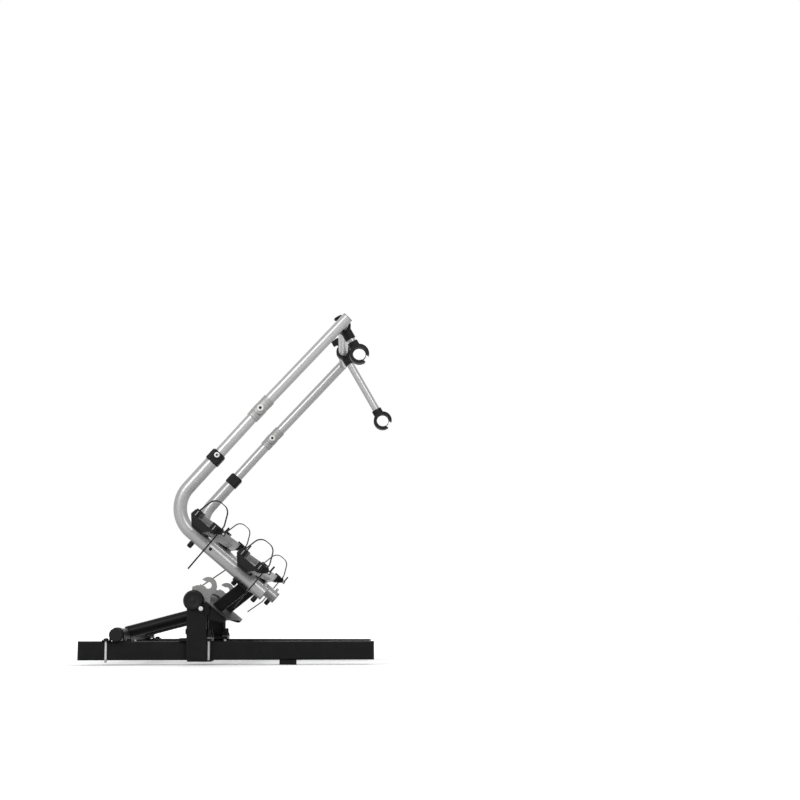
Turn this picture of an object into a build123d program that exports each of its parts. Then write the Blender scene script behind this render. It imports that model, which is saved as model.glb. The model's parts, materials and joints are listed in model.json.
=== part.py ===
from build123d import *
import math
import os

# Caravan bike rack on the two bars of an A-frame drawbar, in millimetres.
# X runs forward to the towing head, Y to the left, Z up.
# The origin is the middle of the cross-member's underside, where the rack stands on the floor.
# The tilting frame is drawn level, round the hinge axis, and then tilted forward about that axis.

# Drawbar
BAR = 50.0
BAR_WALL = 3.0
BAR_CORNER = 4.0
BAR_LENGTH = 784.0
BAR_ANGLE = 7.0
BAR_BOTTOM = 13.0
BAR_MID_X = -159.0
BAR_Y_AT_HINGE = 341.0
BAR_PLUG = 4.0
CROSS_BAR = 20.0
CROSS_FOOT_REAR = -18.0
CROSS_FOOT_FRONT = 27.0
CROSS_FOOT_LENGTH = 50.0

# Rear cross tube and braces
REAR_TUBE_D = 34.0
REAR_TUBE_X = -449.0
REAR_TUBE_PROUD = 38.0
REAR_CAP_D = 36.0
REAR_CAP = 5.0
TUBE_WALL = 2.5
SADDLE_WALL = 2.5
SADDLE_WIDTH = 36.0
SADDLE_EAR = 23.0
BRACE_D = 33.0
BRACE_Y = 200.0
BRACE_START_Z = 84.3
BRACE_END_Z = 137.5
U_BOLT_X = -479.0
U_BOLT_ROD = 6.5
U_BOLT_PLATE_LENGTH = 74.0
U_BOLT_PLATE_REAR = 11.0
U_BOLT_PLATE_FRONT = 14.0
U_BOLT_PLATE = 3.0
U_BOLT_BEND = 8.0
STUD_NUT = 4.0
STUD_NUT_R = 6.5

# Posts on the bars, each with an outer and an inner pivot plate
HINGE_X = -247.0
HINGE_Z = 171.0
POST_REAR = -264.0
POST_FRONT = -217.0
POST_Y = 350.0
POST_WIDTH = 32.0
POST_WALL = 4.0
POST_TOP = 144.0
FOOT_REAR = -284.0
FOOT_FRONT = -198.0
FOOT_INNER_Y = 284.0
FOOT_PLATE = 8.0
PIVOT_PLATE = 6.0
SLOT = 14.0
PIVOT_PLATE_FRONT = -211.0
PIVOT_PLATE_NOSE = -205.0
PIVOT_PLATE_TOP = 164.0
PIVOT_NOSE_BOTTOM = 138.0
CLAMP_PLATE = 4.0
CLAMP_PLATE_REAR = -262.0
CLAMP_PLATE_FRONT = -198.0
CLAMP_CORNER = 6.0
CLAMP_BOLT_X = -206.0
CLAMP_BOLT_D = 8.0
CLAMP_BOLT_TOP = 93.8
CLAMP_BOLT_OUT_Y = 373.0
CLAMP_BOLT_IN_Y = 294.0
SIDE_BOLT_Z = 89.0
SIDE_BOLT_R = 8.0
SIDE_BOLT_HEAD = 5.5

# Hinge
HINGE_TUBE_D = 48.3
HINGE_HALF = 395.0
HINGE_CAP = 5.0
RUN_FIT = 0.1
CLEAR = 0.4
HUB_WALL = 3.75
WASHER = 1.8
TILT = 40.2

# Lock pins
PIN_D = 8.0
PIN_R_FROM_HINGE = 30.7
PIN_HOUSING_D = 12.0
PIN_HOUSING = 7.0
PIN_TRAVEL = 6.2
PIN_HEAD_D = 12.4
PIN_HEAD = 6.0

# Tilt brackets, hook plates and tilt posts, level frame round the hinge axis
CHEEK = 6.0
CHEEK_GAP = 44.0
FLANGE_TOP = 19.7
FLANGE = 5.0
FLANGE_REAR = 27.0
FLANGE_FRONT = 99.0
LOBE_R = 5.5
NOTCH_CLEAR = 3.0
HOOK_PLATE = 5.0
HOOK_X = 38.5
HOOK_Z = 40.5
HOOK_OUT_R = 22.5
HOOK_HOLE_R = 9.0
HOOK_MOUTH = 13.0
TILT_POST = 32.0
TILT_POST_WALL = 3.0
TILT_POST_LEAN = 11.3
TILT_POST_X = 51.2
TILT_POST_Y = 200.0
TOP_PLATE = 6.0
TOP_PLATE_REAR = 44.0
TOP_PLATE_FRONT = 92.0

# Side tubes and hoop
SIDE_TUBE_D = 36.5
SIDE_TUBE_WALL = 3.15
SIDE_TUBE_Y = 400.0
SIDE_TUBE_Z = 134.3
SIDE_TUBE_FRONT = 133.0
SIDE_PLUG = 2.0
BEND_X = -208.9
BEND_RADIUS = 83.0
HOOP_LEAN = 1.6
COLLAR_AT = 193.2
COLLAR_LENGTH = 28.5
COLLAR_ACROSS = 40.0
COLLAR_CORNER = 9.0
COLLAR_SCREW_D = 15.0
COLLAR_SCREW = 6.0
INNER_TUBE_D = 30.0
INNER_TUBE_WALL = 2.0
INNER_TUBE_DEPTH = 62.0
KNUCKLE_AT = 372.2
KNUCKLE_R = 17.0
KNUCKLE_SLEEVE = 14.0
KNUCKLE_TONGUE = 12.0
KNUCKLE_REACH = 20.0
KNUCKLE_PIN_D = 8.0
KNUCKLE_PIN_HEAD_D = 16.0
KNUCKLE_PIN_HEAD = 4.0
TOP_LEAN = 2.8
TOP_LENGTH = 342.0
TOP_PLUG = 2.0
CROSSBAR_D = 28.0
CROSSBAR_DROP = 17.0

# Wheel rails, level frame
RAIL_REAR_X = -95.0
RAIL_SPACING = 155.0
RAIL_HALF = 600.0
RAIL_FLOOR = 16.0
RAIL_HALF_WIDTH = 30.0
RAIL_SHOULDER = 16.0
RAIL_HEIGHT = 34.0
RAIL_WALL = 2.5
RAIL_TRIM = 5.0
RAIL_TRIM_RISE = 4.0
RAIL_PAD = 3.95
RAIL_PAD_DEPTH = 9.0
RAIL_PAD_WIDTH = 30.0
RAIL_BOLT_OFFSET = -7.0
RAIL_BOLT_D = 8.0
RAIL_BOLT_HEAD = 5.0
RAIL_BOLT_HEAD_R = 6.5
RAIL_KNOB_R = 7.0
RAIL_KNOB = 17.0
END_BOLT_X = 121.0
END_BOLT_TIP = 5.0

# Wheel holders and straps
HOLDER_END_GAP = 6.0
HOLDER_LENGTH = 94.0
HOLDER_WALL = 6.0
HOLDER_LIP = 2.0
HOLDER_BELLY = 16.0
HOLDER_HIP = 2.5
HOLDER_TROUGH_FLOOR = 7.0
HOLDER_TROUGH_HALF = 19.0
WHEEL_STRAP_WIDTH = 18.0
WHEEL_STRAP = 2.5
WHEEL_STRAP_TOP = 88.0
WHEEL_STRAP_HALF = 22.0
WHEEL_STRAP_RADIUS = 24.0
WHEEL_STRAP_X = 42.5
TAIL_NEAR = 96.0
TAIL_FAR_REAR = 143.0
TAIL_FAR_FRONT = 114.0
TAIL_BEND = 60.0
TAIL_SWING_REAR = 23.5
TAIL_SWING_FRONT = 14.5
BUCKLE_WIDTH = 28.0
BUCKLE_DEPTH = 15.0
BUCKLE_BOTTOM = 14.5
BUCKLE_TOP = 40.0
BUCKLE_SLOPE = 6.0
LEVER_WIDTH = 22.0
LEVER_LENGTH = 22.0
LEVER_RISE = 9.5
LEVER_OUT = 3.5
LEVER_PLATE = 3.5
LEVER_PIN_D = 4.0
LEVER_EAR = 2.2

# Bike arms on the crossbar
ARM_CLAMP_R = 21.0
ARM_CLAMP_WIDTH = 38.0
ARM_TUBE_D = 22.0
ARM_DROP = 20.0
ARM_SHORT_Y = -330.0
ARM_SHORT = 90.0
ARM_LONG_Y = 150.0
ARM_LONG = 240.0
JAW_R = 27.0
JAW_HOLE_R = 18.0
JAW_WIDTH = 36.0
JAW_MOUTH = 20.0
KNOB_R = 17.0
KNOB = 16.0
KNOB_STEM_R = 5.0
KNOB_STEM = 8.0

BAR_TOP = BAR_BOTTOM + BAR
SLOPE = math.tan(math.radians(BAR_ANGLE))
HINGE_R = HINGE_TUBE_D / 2
REAR_TUBE_HALF = BAR_Y_AT_HINGE - (REAR_TUBE_X - HINGE_X) * SLOPE + REAR_TUBE_PROUD
HOLDER_INNER_Y = RAIL_HALF - HOLDER_END_GAP - HOLDER_LENGTH
LOBE_Z = FLANGE_TOP - FLANGE - LOBE_R
CHEEK_IN_Y = POST_Y - CHEEK_GAP / 2
CHEEK_OUT_Y = POST_Y + CHEEK_GAP / 2
POST_IN_Y = POST_Y - POST_WIDTH / 2
POST_OUT_Y = POST_Y + POST_WIDTH / 2
PLATE_IN_Y = POST_IN_Y - SLOT
PLATE_OUT_Y = POST_OUT_Y + SLOT
RAIL_BOTTOM = SIDE_TUBE_Z + SIDE_TUBE_D / 2 + RAIL_PAD
RAILS = {"rear": RAIL_REAR_X, "front": RAIL_REAR_X + RAIL_SPACING}
SIDES = {"left": 1, "right": -1}
FAR_TAILS = {"rear": (TAIL_FAR_REAR, TAIL_SWING_REAR), "front": (TAIL_FAR_FRONT, TAIL_SWING_FRONT)}


def box(x0, x1, y0, y1, z0, z1):
    """A block between two corners."""
    return Pos((x0 + x1) / 2, (y0 + y1) / 2, (z0 + z1) / 2) * Box(x1 - x0, y1 - y0, z1 - z0)


def rod_y(x, z, y0, y1, radius):
    """A round bar along Y."""
    return Pos(x, (y0 + y1) / 2, z) * Rot(90, 0, 0) * Cylinder(radius, y1 - y0)


def rod_z(x, y, z0, z1, radius):
    """A round bar along Z."""
    return Pos(x, y, (z0 + z1) / 2) * Cylinder(radius, z1 - z0)


def hex_z(x, y, z0, z1, radius):
    """A hexagon bar along Z."""
    return Pos(x, y, z0) * extrude(RegularPolygon(radius, 6), z1 - z0)


def slab(outline, y0, y1):
    """A flat outline in X and Z, given its thickness along Y."""
    return extrude(Plane.XZ.offset(-y1) * outline, y1 - y0)


def outline(*points):
    """A flat face through the given corners."""
    return make_face(Polyline(*points, close=True))


def on_side(shape, side):
    """A shape drawn on the left, kept there or mirrored to the right."""
    return shape if side > 0 else mirror(shape, about=Plane.XZ)


def pair(shape):
    """A shape drawn on the left, with its mirror image."""
    return [shape, mirror(shape, about=Plane.XZ)]


def bar_y(x):
    """Distance of a drawbar rail's centre line from the middle, at a place along X."""
    return BAR_Y_AT_HINGE - (x - HINGE_X) * SLOPE


def on_bar(x):
    """The frame of the left rail's centre line at a place along X, turned with the rail."""
    return Pos(x, bar_y(x), 0) * Rot(0, 0, -BAR_ANGLE)


def level(shape):
    """Puts a shape drawn round the hinge axis, in the level frame, in its tilted place."""
    return Pos(HINGE_X, 0, HINGE_Z) * Rot(0, TILT, 0) * shape


def upright_frame():
    """The frame of the left upright, with its origin where the tube's two runs would meet."""
    return Pos(BEND_X, SIDE_TUBE_Y, SIDE_TUBE_Z) * Rot(0, HOOP_LEAN, 0)


def hoop_point(distance):
    """A place on the upright's centre line, by its distance from the corner."""
    lean = math.radians(HOOP_LEAN)
    return BEND_X + distance * math.sin(lean), SIDE_TUBE_Z + distance * math.cos(lean)


def top_frame():
    """The frame of the left upper tube, with its origin on the fold pin."""
    x, z = hoop_point(KNUCKLE_AT)
    return Pos(x, SIDE_TUBE_Y, z) * Rot(0, TOP_LEAN, 0)


def drawbar_rail():
    hole = BAR - 2 * BAR_WALL
    section = RectangleRounded(BAR, BAR, BAR_CORNER) - Rectangle(hole, hole)
    tube = Pos(-BAR_LENGTH / 2, 0, 0) * Rot(0, 90, 0) * extrude(section, BAR_LENGTH)
    return on_bar(BAR_MID_X) * Pos(0, 0, BAR_BOTTOM + BAR / 2) * tube


def drawbar_plugs():
    hole = BAR - 2 * BAR_WALL
    plugs = []
    for end in (-1, 1):
        plate = Pos(end * (BAR_LENGTH + BAR_PLUG) / 2, 0, 0) * Box(BAR_PLUG, BAR, BAR)
        spigot = Pos(end * (BAR_LENGTH / 2 - BAR_PLUG), 0, 0) * Box(2 * BAR_PLUG, hole, hole)
        plugs += pair(on_bar(BAR_MID_X) * Pos(0, 0, BAR_BOTTOM + BAR / 2) * (plate + spigot))
    return plugs


def cross_member():
    """Box bar across the drawbar with a wider foot under each rail."""
    middle = bar_y(0)
    inner = middle - CROSS_FOOT_LENGTH / 2
    outer = middle + CROSS_FOOT_LENGTH / 2
    half = CROSS_BAR / 2
    bar = box(-half, half, -inner, inner, 0, BAR_BOTTOM)
    bar -= box(BAR_WALL - half, half - BAR_WALL, -inner, inner, BAR_WALL, BAR_BOTTOM - BAR_WALL)
    foot = box(CROSS_FOOT_REAR, CROSS_FOOT_FRONT, inner, outer, 0, BAR_BOTTOM)
    return bar + foot + mirror(foot, about=Plane.XZ)


def rear_tube_z():
    return BAR_TOP + REAR_TUBE_D / 2


def rear_cross_tube():
    outer = rod_y(REAR_TUBE_X, rear_tube_z(), -REAR_TUBE_HALF, REAR_TUBE_HALF, REAR_TUBE_D / 2)
    bore = REAR_TUBE_D / 2 - TUBE_WALL
    return outer - rod_y(REAR_TUBE_X, rear_tube_z(), -REAR_TUBE_HALF, REAR_TUBE_HALF, bore)


def rear_tube_cap():
    z = rear_tube_z()
    end = REAR_TUBE_HALF
    rim = rod_y(REAR_TUBE_X, z, end, end + REAR_CAP, REAR_CAP_D / 2)
    rim = fillet(rim.faces().sort_by(Axis.Y)[-1].edges(), 2.5)
    return rim + rod_y(REAR_TUBE_X, z, end - REAR_CAP, end, REAR_TUBE_D / 2 - TUBE_WALL)


def brace():
    """Tube from the rear cross tube up to the hinge tube's lower rear side."""
    start = Vector(REAR_TUBE_X, BRACE_Y, BRACE_START_Z)
    end = Vector(HINGE_X, BRACE_Y, BRACE_END_Z)
    line = Edge.make_line(start, end)
    plane = Plane(origin=start, z_dir=(end - start).normalized())
    tube = sweep(plane * Circle(BRACE_D / 2), path=line)
    tube -= sweep(plane * Circle(BRACE_D / 2 - TUBE_WALL), path=line)
    tube -= rod_y(REAR_TUBE_X, rear_tube_z(), 0, REAR_TUBE_HALF, REAR_TUBE_D / 2)
    tube -= rod_y(HINGE_X, HINGE_Z, 0, HINGE_HALF, HINGE_R)
    tube -= box(REAR_TUBE_X - BRACE_D, REAR_TUBE_X, 0, REAR_TUBE_HALF, 0, HINGE_Z)
    return tube.solids().sort_by(SortBy.VOLUME)[-1]


def rear_saddle():
    x = REAR_TUBE_X
    z = rear_tube_z()
    inner = REAR_TUBE_D / 2
    outer = inner + SADDLE_WALL
    y0 = bar_y(x) - SADDLE_WIDTH / 2
    y1 = y0 + SADDLE_WIDTH
    strap = rod_y(x, z, y0, y1, outer) & box(x - outer, x + outer, y0, y1, z, z + outer)
    strap += box(x - outer, x - inner, y0, y1, BAR_TOP + U_BOLT_PLATE, z)
    strap += box(x + inner, x + outer, y0, y1, BAR_TOP, z)
    strap += box(x + inner, x + inner + SADDLE_EAR, y0, y1, BAR_TOP, BAR_TOP + SADDLE_WALL)
    bolt_x = x + outer + SADDLE_EAR / 2
    strap += hex_z(bolt_x, (y0 + y1) / 2, BAR_TOP + SADDLE_WALL, BAR_TOP + SADDLE_WALL + STUD_NUT, STUD_NUT_R)
    return strap - rod_y(x, z, y0, y1, inner)


def u_bolt():
    leg = BAR / 2 + U_BOLT_ROD / 2 + CLEAR
    bottom = BAR_BOTTOM - U_BOLT_ROD / 2 - CLEAR
    top = BAR_TOP + U_BOLT_PLATE + STUD_NUT + 2
    corners = [(0, -leg, top), (0, -leg, bottom), (0, leg, bottom), (0, leg, top)]
    line = FilletPolyline(*corners, radius=U_BOLT_BEND)
    rod = sweep(Plane(origin=(0, -leg, top), z_dir=(0, 0, -1)) * Circle(U_BOLT_ROD / 2), path=line)
    return on_bar(U_BOLT_X) * rod


def u_bolt_plate():
    leg = BAR / 2 + U_BOLT_ROD / 2 + CLEAR
    half = U_BOLT_PLATE_LENGTH / 2
    top = BAR_TOP + U_BOLT_PLATE
    plate = box(-U_BOLT_PLATE_REAR, U_BOLT_PLATE_FRONT, -half, half, BAR_TOP, top)
    plate -= box(U_BOLT_PLATE_REAR, U_BOLT_PLATE_FRONT, leg - U_BOLT_ROD, half, BAR_TOP, top)
    for y in (-leg, leg):
        plate -= rod_z(0, y, BAR_TOP, top, U_BOLT_ROD / 2 + RUN_FIT)
        nut = hex_z(0, y, top, top + STUD_NUT, STUD_NUT_R) - rod_z(0, y, top, top + STUD_NUT, U_BOLT_ROD / 2)
        plate += nut
    return on_bar(U_BOLT_X) * plate


def post():
    """Foot flange, box and the two spacers that carry the pivot plates, as one weldment."""
    foot_top = BAR_TOP + FOOT_PLATE
    foot = box(FOOT_REAR, FOOT_FRONT, FOOT_INNER_Y, PLATE_OUT_Y, BAR_TOP, foot_top)
    body = box(POST_REAR, POST_FRONT, POST_IN_Y, POST_OUT_Y, foot_top, POST_TOP)
    spacer_top = HINGE_Z - HINGE_R - 2 * SLOT - FOOT_PLATE
    spacer_front = PIVOT_PLATE_FRONT - POST_WALL
    body += box(POST_REAR, spacer_front, PLATE_IN_Y, PLATE_OUT_Y, foot_top, spacer_top)
    wall = POST_WALL
    in_y = POST_IN_Y + wall
    out_y = POST_OUT_Y - wall
    body -= box(POST_REAR + wall, POST_FRONT - wall, in_y, out_y, foot_top, POST_TOP - wall)
    holes = [rod_z(CLAMP_BOLT_X, y, BAR_TOP, foot_top, CLAMP_BOLT_D / 2 + RUN_FIT)
             for y in (CLAMP_BOLT_IN_Y, CLAMP_BOLT_OUT_Y)]
    return foot + body - holes[0] - holes[1]


def pivot_profile(bottom, corner):
    """Outline of a pivot plate: a saddle for the hinge tube, and a nose for the lock pin."""
    face = outline(
        (POST_REAR, bottom + corner), (POST_REAR + corner, bottom), (PIVOT_PLATE_FRONT, bottom),
        (PIVOT_PLATE_FRONT, PIVOT_NOSE_BOTTOM - 6), (PIVOT_PLATE_NOSE, PIVOT_NOSE_BOTTOM),
        (PIVOT_PLATE_NOSE, PIVOT_PLATE_TOP), (POST_REAR, PIVOT_PLATE_TOP))
    return face - Pos(HINGE_X, HINGE_Z) * Circle(HINGE_R)


def pin_place(turn):
    """X and Z of a lock pin hole from the hinge axis, turned back by an angle."""
    angle = math.radians(-45 + turn)
    return PIN_R_FROM_HINGE * math.cos(angle), PIN_R_FROM_HINGE * math.sin(angle)


def pivot_plates():
    """Outer plate down to the clamp plate, with the lock pin's housing, and inner plate on the foot."""
    px, pz = pin_place(0)
    px += HINGE_X
    pz += HINGE_Z
    out_y = PLATE_OUT_Y + PIVOT_PLATE
    outer = slab(pivot_profile(BAR_BOTTOM - CLAMP_PLATE, CLAMP_CORNER), PLATE_OUT_Y, out_y)
    outer += rod_y(px, pz, out_y, out_y + PIN_HOUSING, PIN_HOUSING_D / 2)
    outer -= rod_y(px, pz, PLATE_OUT_Y, out_y + PIN_HOUSING, PIN_D / 2 + RUN_FIT / 2)
    inner = slab(pivot_profile(BAR_TOP + FOOT_PLATE, RUN_FIT), PLATE_IN_Y - PIVOT_PLATE, PLATE_IN_Y)
    return [outer.solid(), inner.solid()]


def clamp_plate():
    bottom = BAR_BOTTOM - CLAMP_PLATE
    plate = box(CLAMP_PLATE_REAR, CLAMP_PLATE_FRONT, FOOT_INNER_Y, PLATE_OUT_Y, bottom, BAR_BOTTOM)
    for y in (CLAMP_BOLT_IN_Y, CLAMP_BOLT_OUT_Y):
        plate -= rod_z(CLAMP_BOLT_X, y, bottom, BAR_BOTTOM, CLAMP_BOLT_D / 2)
    return plate


def clamp_bolts():
    bottom = BAR_BOTTOM - CLAMP_PLATE
    return [rod_z(CLAMP_BOLT_X, y, bottom, CLAMP_BOLT_TOP, CLAMP_BOLT_D / 2)
            for y in (CLAMP_BOLT_IN_Y, CLAMP_BOLT_OUT_Y)]


def clamp_nuts():
    base = BAR_TOP + FOOT_PLATE
    nuts = []
    for y in (CLAMP_BOLT_IN_Y, CLAMP_BOLT_OUT_Y):
        nut = hex_z(CLAMP_BOLT_X, y, base, base + STUD_NUT, STUD_NUT_R - 1)
        nuts.append(nut - rod_z(CLAMP_BOLT_X, y, base, base + STUD_NUT, CLAMP_BOLT_D / 2))
    return nuts


def side_bolt():
    head = Rot(0, 90, 0) * extrude(RegularPolygon(SIDE_BOLT_R, 6), SIDE_BOLT_HEAD)
    return Pos(POST_REAR - SIDE_BOLT_HEAD, POST_Y, SIDE_BOLT_Z) * head


def hinge_tube():
    tube = rod_y(HINGE_X, HINGE_Z, -HINGE_HALF, HINGE_HALF, HINGE_R)
    return tube - rod_y(HINGE_X, HINGE_Z, -HINGE_HALF, HINGE_HALF, HINGE_R - TUBE_WALL)


def hinge_cap():
    disc = rod_y(HINGE_X, HINGE_Z, HINGE_HALF, HINGE_HALF + HINGE_CAP, HINGE_R)
    disc = fillet(disc.faces().sort_by(Axis.Y)[-1].edges(), 2)
    return disc + rod_y(HINGE_X, HINGE_Z, HINGE_HALF - 2 * HINGE_CAP, HINGE_HALF, HINGE_R - TUBE_WALL)


def hinge_washers():
    rings = []
    for start in (CHEEK_OUT_Y + CHEEK, PLATE_IN_Y):
        rim = PIN_R_FROM_HINGE - PIN_D / 2 - CLEAR
        ring = rod_y(HINGE_X, HINGE_Z, start + RUN_FIT, start + RUN_FIT + WASHER, rim)
        rings.append(ring - rod_y(HINGE_X, HINGE_Z, start, start + SLOT, HINGE_R))
    return rings


def lock_pin():
    px, pz = pin_place(0)
    tip = CHEEK_OUT_Y + CHEEK + CLEAR
    head = PLATE_OUT_Y + PIVOT_PLATE + PIN_HOUSING + PIN_TRAVEL + CLEAR
    pin = rod_y(HINGE_X + px, HINGE_Z + pz, tip, head, PIN_D / 2)
    knob = rod_y(HINGE_X + px, HINGE_Z + pz, head, head + PIN_HEAD, PIN_HEAD_D / 2)
    return pin + fillet(knob.faces().sort_by(Axis.Y)[-1].edges(), 1.5)


def cheek_profile():
    """Outline of a tilt bracket's cheek, from the hub round the hinge tube to the front lobe."""
    hub = HINGE_R + HUB_WALL
    heel_x, heel_z = pin_place(0)
    lobe_x = FLANGE_FRONT - LOBE_R
    under = FLANGE_TOP - FLANGE
    body = outline(
        (0, -hub), (heel_x + 4, heel_z - 6), (lobe_x + 2, LOBE_Z - LOBE_R), (FLANGE_FRONT, LOBE_Z),
        (FLANGE_FRONT, under), (FLANGE_REAR, under), (hub - 4, 14), (0, 0))
    face = body + Circle(hub) + Pos(heel_x, heel_z) * Circle(PIN_D) + Pos(lobe_x, LOBE_Z) * Circle(LOBE_R)
    face -= Circle(HINGE_R + RUN_FIT)
    for turn in (0, TILT):
        x, z = pin_place(turn)
        face -= Pos(x, z) * Circle(PIN_D / 2 + CLEAR)
    return face


def tilt_cheeks():
    face = cheek_profile()
    return [slab(face, CHEEK_IN_Y - CHEEK, CHEEK_IN_Y), slab(face, CHEEK_OUT_Y, CHEEK_OUT_Y + CHEEK)]


def tilt_plate():
    """Plate across the cheeks, which carries the tilt posts, notched for the inner pivot plates."""
    half = CHEEK_OUT_Y + CHEEK
    plate = box(FLANGE_REAR, FLANGE_FRONT, -half, half, FLANGE_TOP - FLANGE, FLANGE_TOP)
    notch_front = PIVOT_PLATE_NOSE - HINGE_X + NOTCH_CLEAR
    notch_in = PLATE_IN_Y - PIVOT_PLATE - NOTCH_CLEAR
    notch_out = CHEEK_IN_Y - CHEEK
    notch = box(FLANGE_REAR, notch_front, notch_in, notch_out, FLANGE_TOP - FLANGE, FLANGE_TOP)
    return plate - notch - mirror(notch, about=Plane.XZ)


def hook_plate():
    """Plate round the hinge tube with an open hook at its top, seen from the side in the tilted pose."""
    hub = HINGE_R + HUB_WALL
    body = outline((-4, 37), (8, 41), (24, 41), (40, 30), (44, 24), (44, 0), (40, -12), (14, -26), (-6, 20))
    hook = Pos(HOOK_X, HOOK_Z) * Circle(HOOK_OUT_R)
    neck = outline((30, 38), (34, 20), (44, 12), (60, 28), (62, 40))
    face = body + hook + neck + Circle(hub)
    face -= Pos(HOOK_X, HOOK_Z) * Circle(HOOK_HOLE_R)
    mouth = Pos(HOOK_X, HOOK_Z) * Rot(0, 0, 154) * Pos(HOOK_OUT_R, 0) * Rectangle(2 * HOOK_OUT_R, HOOK_MOUTH)
    face -= mouth
    face -= Circle(HINGE_R + RUN_FIT)
    plate = slab(face, CHEEK_OUT_Y - HOOK_PLATE, CHEEK_OUT_Y)
    x, z = pin_place(0)
    plate -= rod_y(x, z, CHEEK_OUT_Y - 2 * HOOK_PLATE, CHEEK_OUT_Y, PIN_D / 2 + CLEAR)
    plate = Rot(0, -TILT, 0) * plate
    plate -= box(FLANGE_REAR, FLANGE_FRONT, CHEEK_IN_Y, CHEEK_OUT_Y, -FLANGE_FRONT, FLANGE_TOP)
    return plate.solids().sort_by(SortBy.VOLUME)[-1]


def tilt_post():
    half = TILT_POST / 2
    tall = 2 * SIDE_TUBE_Z
    inner = TILT_POST - 2 * TILT_POST_WALL
    tube = extrude(RectangleRounded(TILT_POST, TILT_POST, TILT_POST_WALL) - Rectangle(inner, inner), tall)
    lean = Pos(TILT_POST_X, TILT_POST_Y, FLANGE_TOP) * Rot(0, TILT_POST_LEAN, 0) * Pos(0, 0, -tall / 2) * tube
    top = SIDE_TUBE_Z - SIDE_TUBE_D / 2 - TOP_PLATE
    return lean & box(0, tall, TILT_POST_Y - half - 1, TILT_POST_Y + half + 1, FLANGE_TOP, top)


def top_plate():
    """Plate across both tilt posts, bolted under the side tubes."""
    half = SIDE_TUBE_Y + SIDE_TUBE_D / 2
    top = SIDE_TUBE_Z - SIDE_TUBE_D / 2
    plate = box(TOP_PLATE_REAR, TOP_PLATE_FRONT, -half, half, top - TOP_PLATE, top)
    plate = fillet(plate.edges().filter_by(Axis.Z), TOP_PLATE)
    x = RAILS["front"] + RAIL_BOLT_OFFSET
    for side in SIDES.values():
        plate -= rod_z(x, side * SIDE_TUBE_Y, top - TOP_PLATE, top, RAIL_BOLT_D / 2 + RUN_FIT)
    return plate


def bolt_places():
    """X of the bolts through each side tube: one a rail, and one at the front end."""
    return [x + RAIL_BOLT_OFFSET for x in RAILS.values()] + [END_BOLT_X]


def side_tube():
    x, z = hoop_point(COLLAR_AT)
    y = SIDE_TUBE_Y
    corners = [(SIDE_TUBE_FRONT, y, SIDE_TUBE_Z), (BEND_X, y, SIDE_TUBE_Z), (x, y, z)]
    line = FilletPolyline(*corners, radius=BEND_RADIUS)
    plane = Plane(origin=(SIDE_TUBE_FRONT, y, SIDE_TUBE_Z), z_dir=(-1, 0, 0))
    tube = sweep(plane * Circle(SIDE_TUBE_D / 2), path=line)
    tube -= sweep(plane * Circle(SIDE_TUBE_D / 2 - SIDE_TUBE_WALL), path=line)
    low = SIDE_TUBE_Z - SIDE_TUBE_D
    high = SIDE_TUBE_Z + SIDE_TUBE_D
    for bolt_x in bolt_places():
        tube -= rod_z(bolt_x, y, low, high, RAIL_BOLT_D / 2 + RUN_FIT)
    return tube


def side_plug():
    radius = SIDE_TUBE_D / 2
    from_end = (Align.CENTER, Align.CENTER, Align.MIN)
    cap = Rot(0, 90, 0) * Cylinder(radius, SIDE_PLUG, align=from_end)
    cap = fillet(cap.faces().sort_by(Axis.X)[-1].edges(), SIDE_PLUG * 0.7)
    spigot = Rot(0, -90, 0) * Cylinder(radius - SIDE_TUBE_WALL, SIDE_PLUG, align=from_end)
    return Pos(SIDE_TUBE_FRONT, SIDE_TUBE_Y, SIDE_TUBE_Z) * (cap + spigot)


def rail_bolts():
    """Bolts down through a rail, a side tube and, at the front rail, the top plate."""
    top = RAIL_BOTTOM + RAIL_WALL
    low = SIDE_TUBE_Z - SIDE_TUBE_D / 2 - RAIL_KNOB / 2
    bolts = []
    for x in [place + RAIL_BOLT_OFFSET for place in RAILS.values()]:
        bolt = rod_z(x, SIDE_TUBE_Y, low, top, RAIL_BOLT_D / 2)
        bolts.append(bolt + rod_z(x, SIDE_TUBE_Y, top, top + RAIL_BOLT_HEAD, RAIL_BOLT_HEAD_R))
    end = rod_z(END_BOLT_X, SIDE_TUBE_Y, low, RAIL_BOTTOM + END_BOLT_TIP, RAIL_BOLT_D / 2)
    return bolts + [end]


def rail_knobs():
    """Black cap nuts under the side tubes; the one at the front rail sits under the top plate."""
    under = SIDE_TUBE_Z - SIDE_TUBE_D / 2
    knobs = []
    for x in bolt_places():
        top = under - TOP_PLATE if TOP_PLATE_REAR < x < TOP_PLATE_FRONT else under
        knob = rod_z(x, SIDE_TUBE_Y, under - RAIL_KNOB, top, RAIL_KNOB_R)
        knob = fillet(knob.faces().sort_by(Axis.Z)[0].edges(), RAIL_KNOB_R * 0.6)
        knobs.append(knob - rod_z(x, SIDE_TUBE_Y, under - RAIL_KNOB / 2, top, RAIL_BOLT_D / 2))
    return knobs


def rail_pad(x):
    """Saddle between a side tube and a wheel rail, cut to the tube's round."""
    half = RAIL_PAD_WIDTH / 2
    low = RAIL_BOTTOM - RAIL_PAD_DEPTH
    pad = box(x - RAIL_FLOOR, x + RAIL_FLOOR, SIDE_TUBE_Y - half, SIDE_TUBE_Y + half, low, RAIL_BOTTOM)
    pad -= Pos(x, SIDE_TUBE_Y, SIDE_TUBE_Z) * Rot(0, 90, 0) * Cylinder(SIDE_TUBE_D / 2, 4 * RAIL_FLOOR)
    return pad - rod_z(x + RAIL_BOLT_OFFSET, SIDE_TUBE_Y, low, RAIL_BOTTOM, RAIL_BOLT_D / 2 + RUN_FIT)


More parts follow.
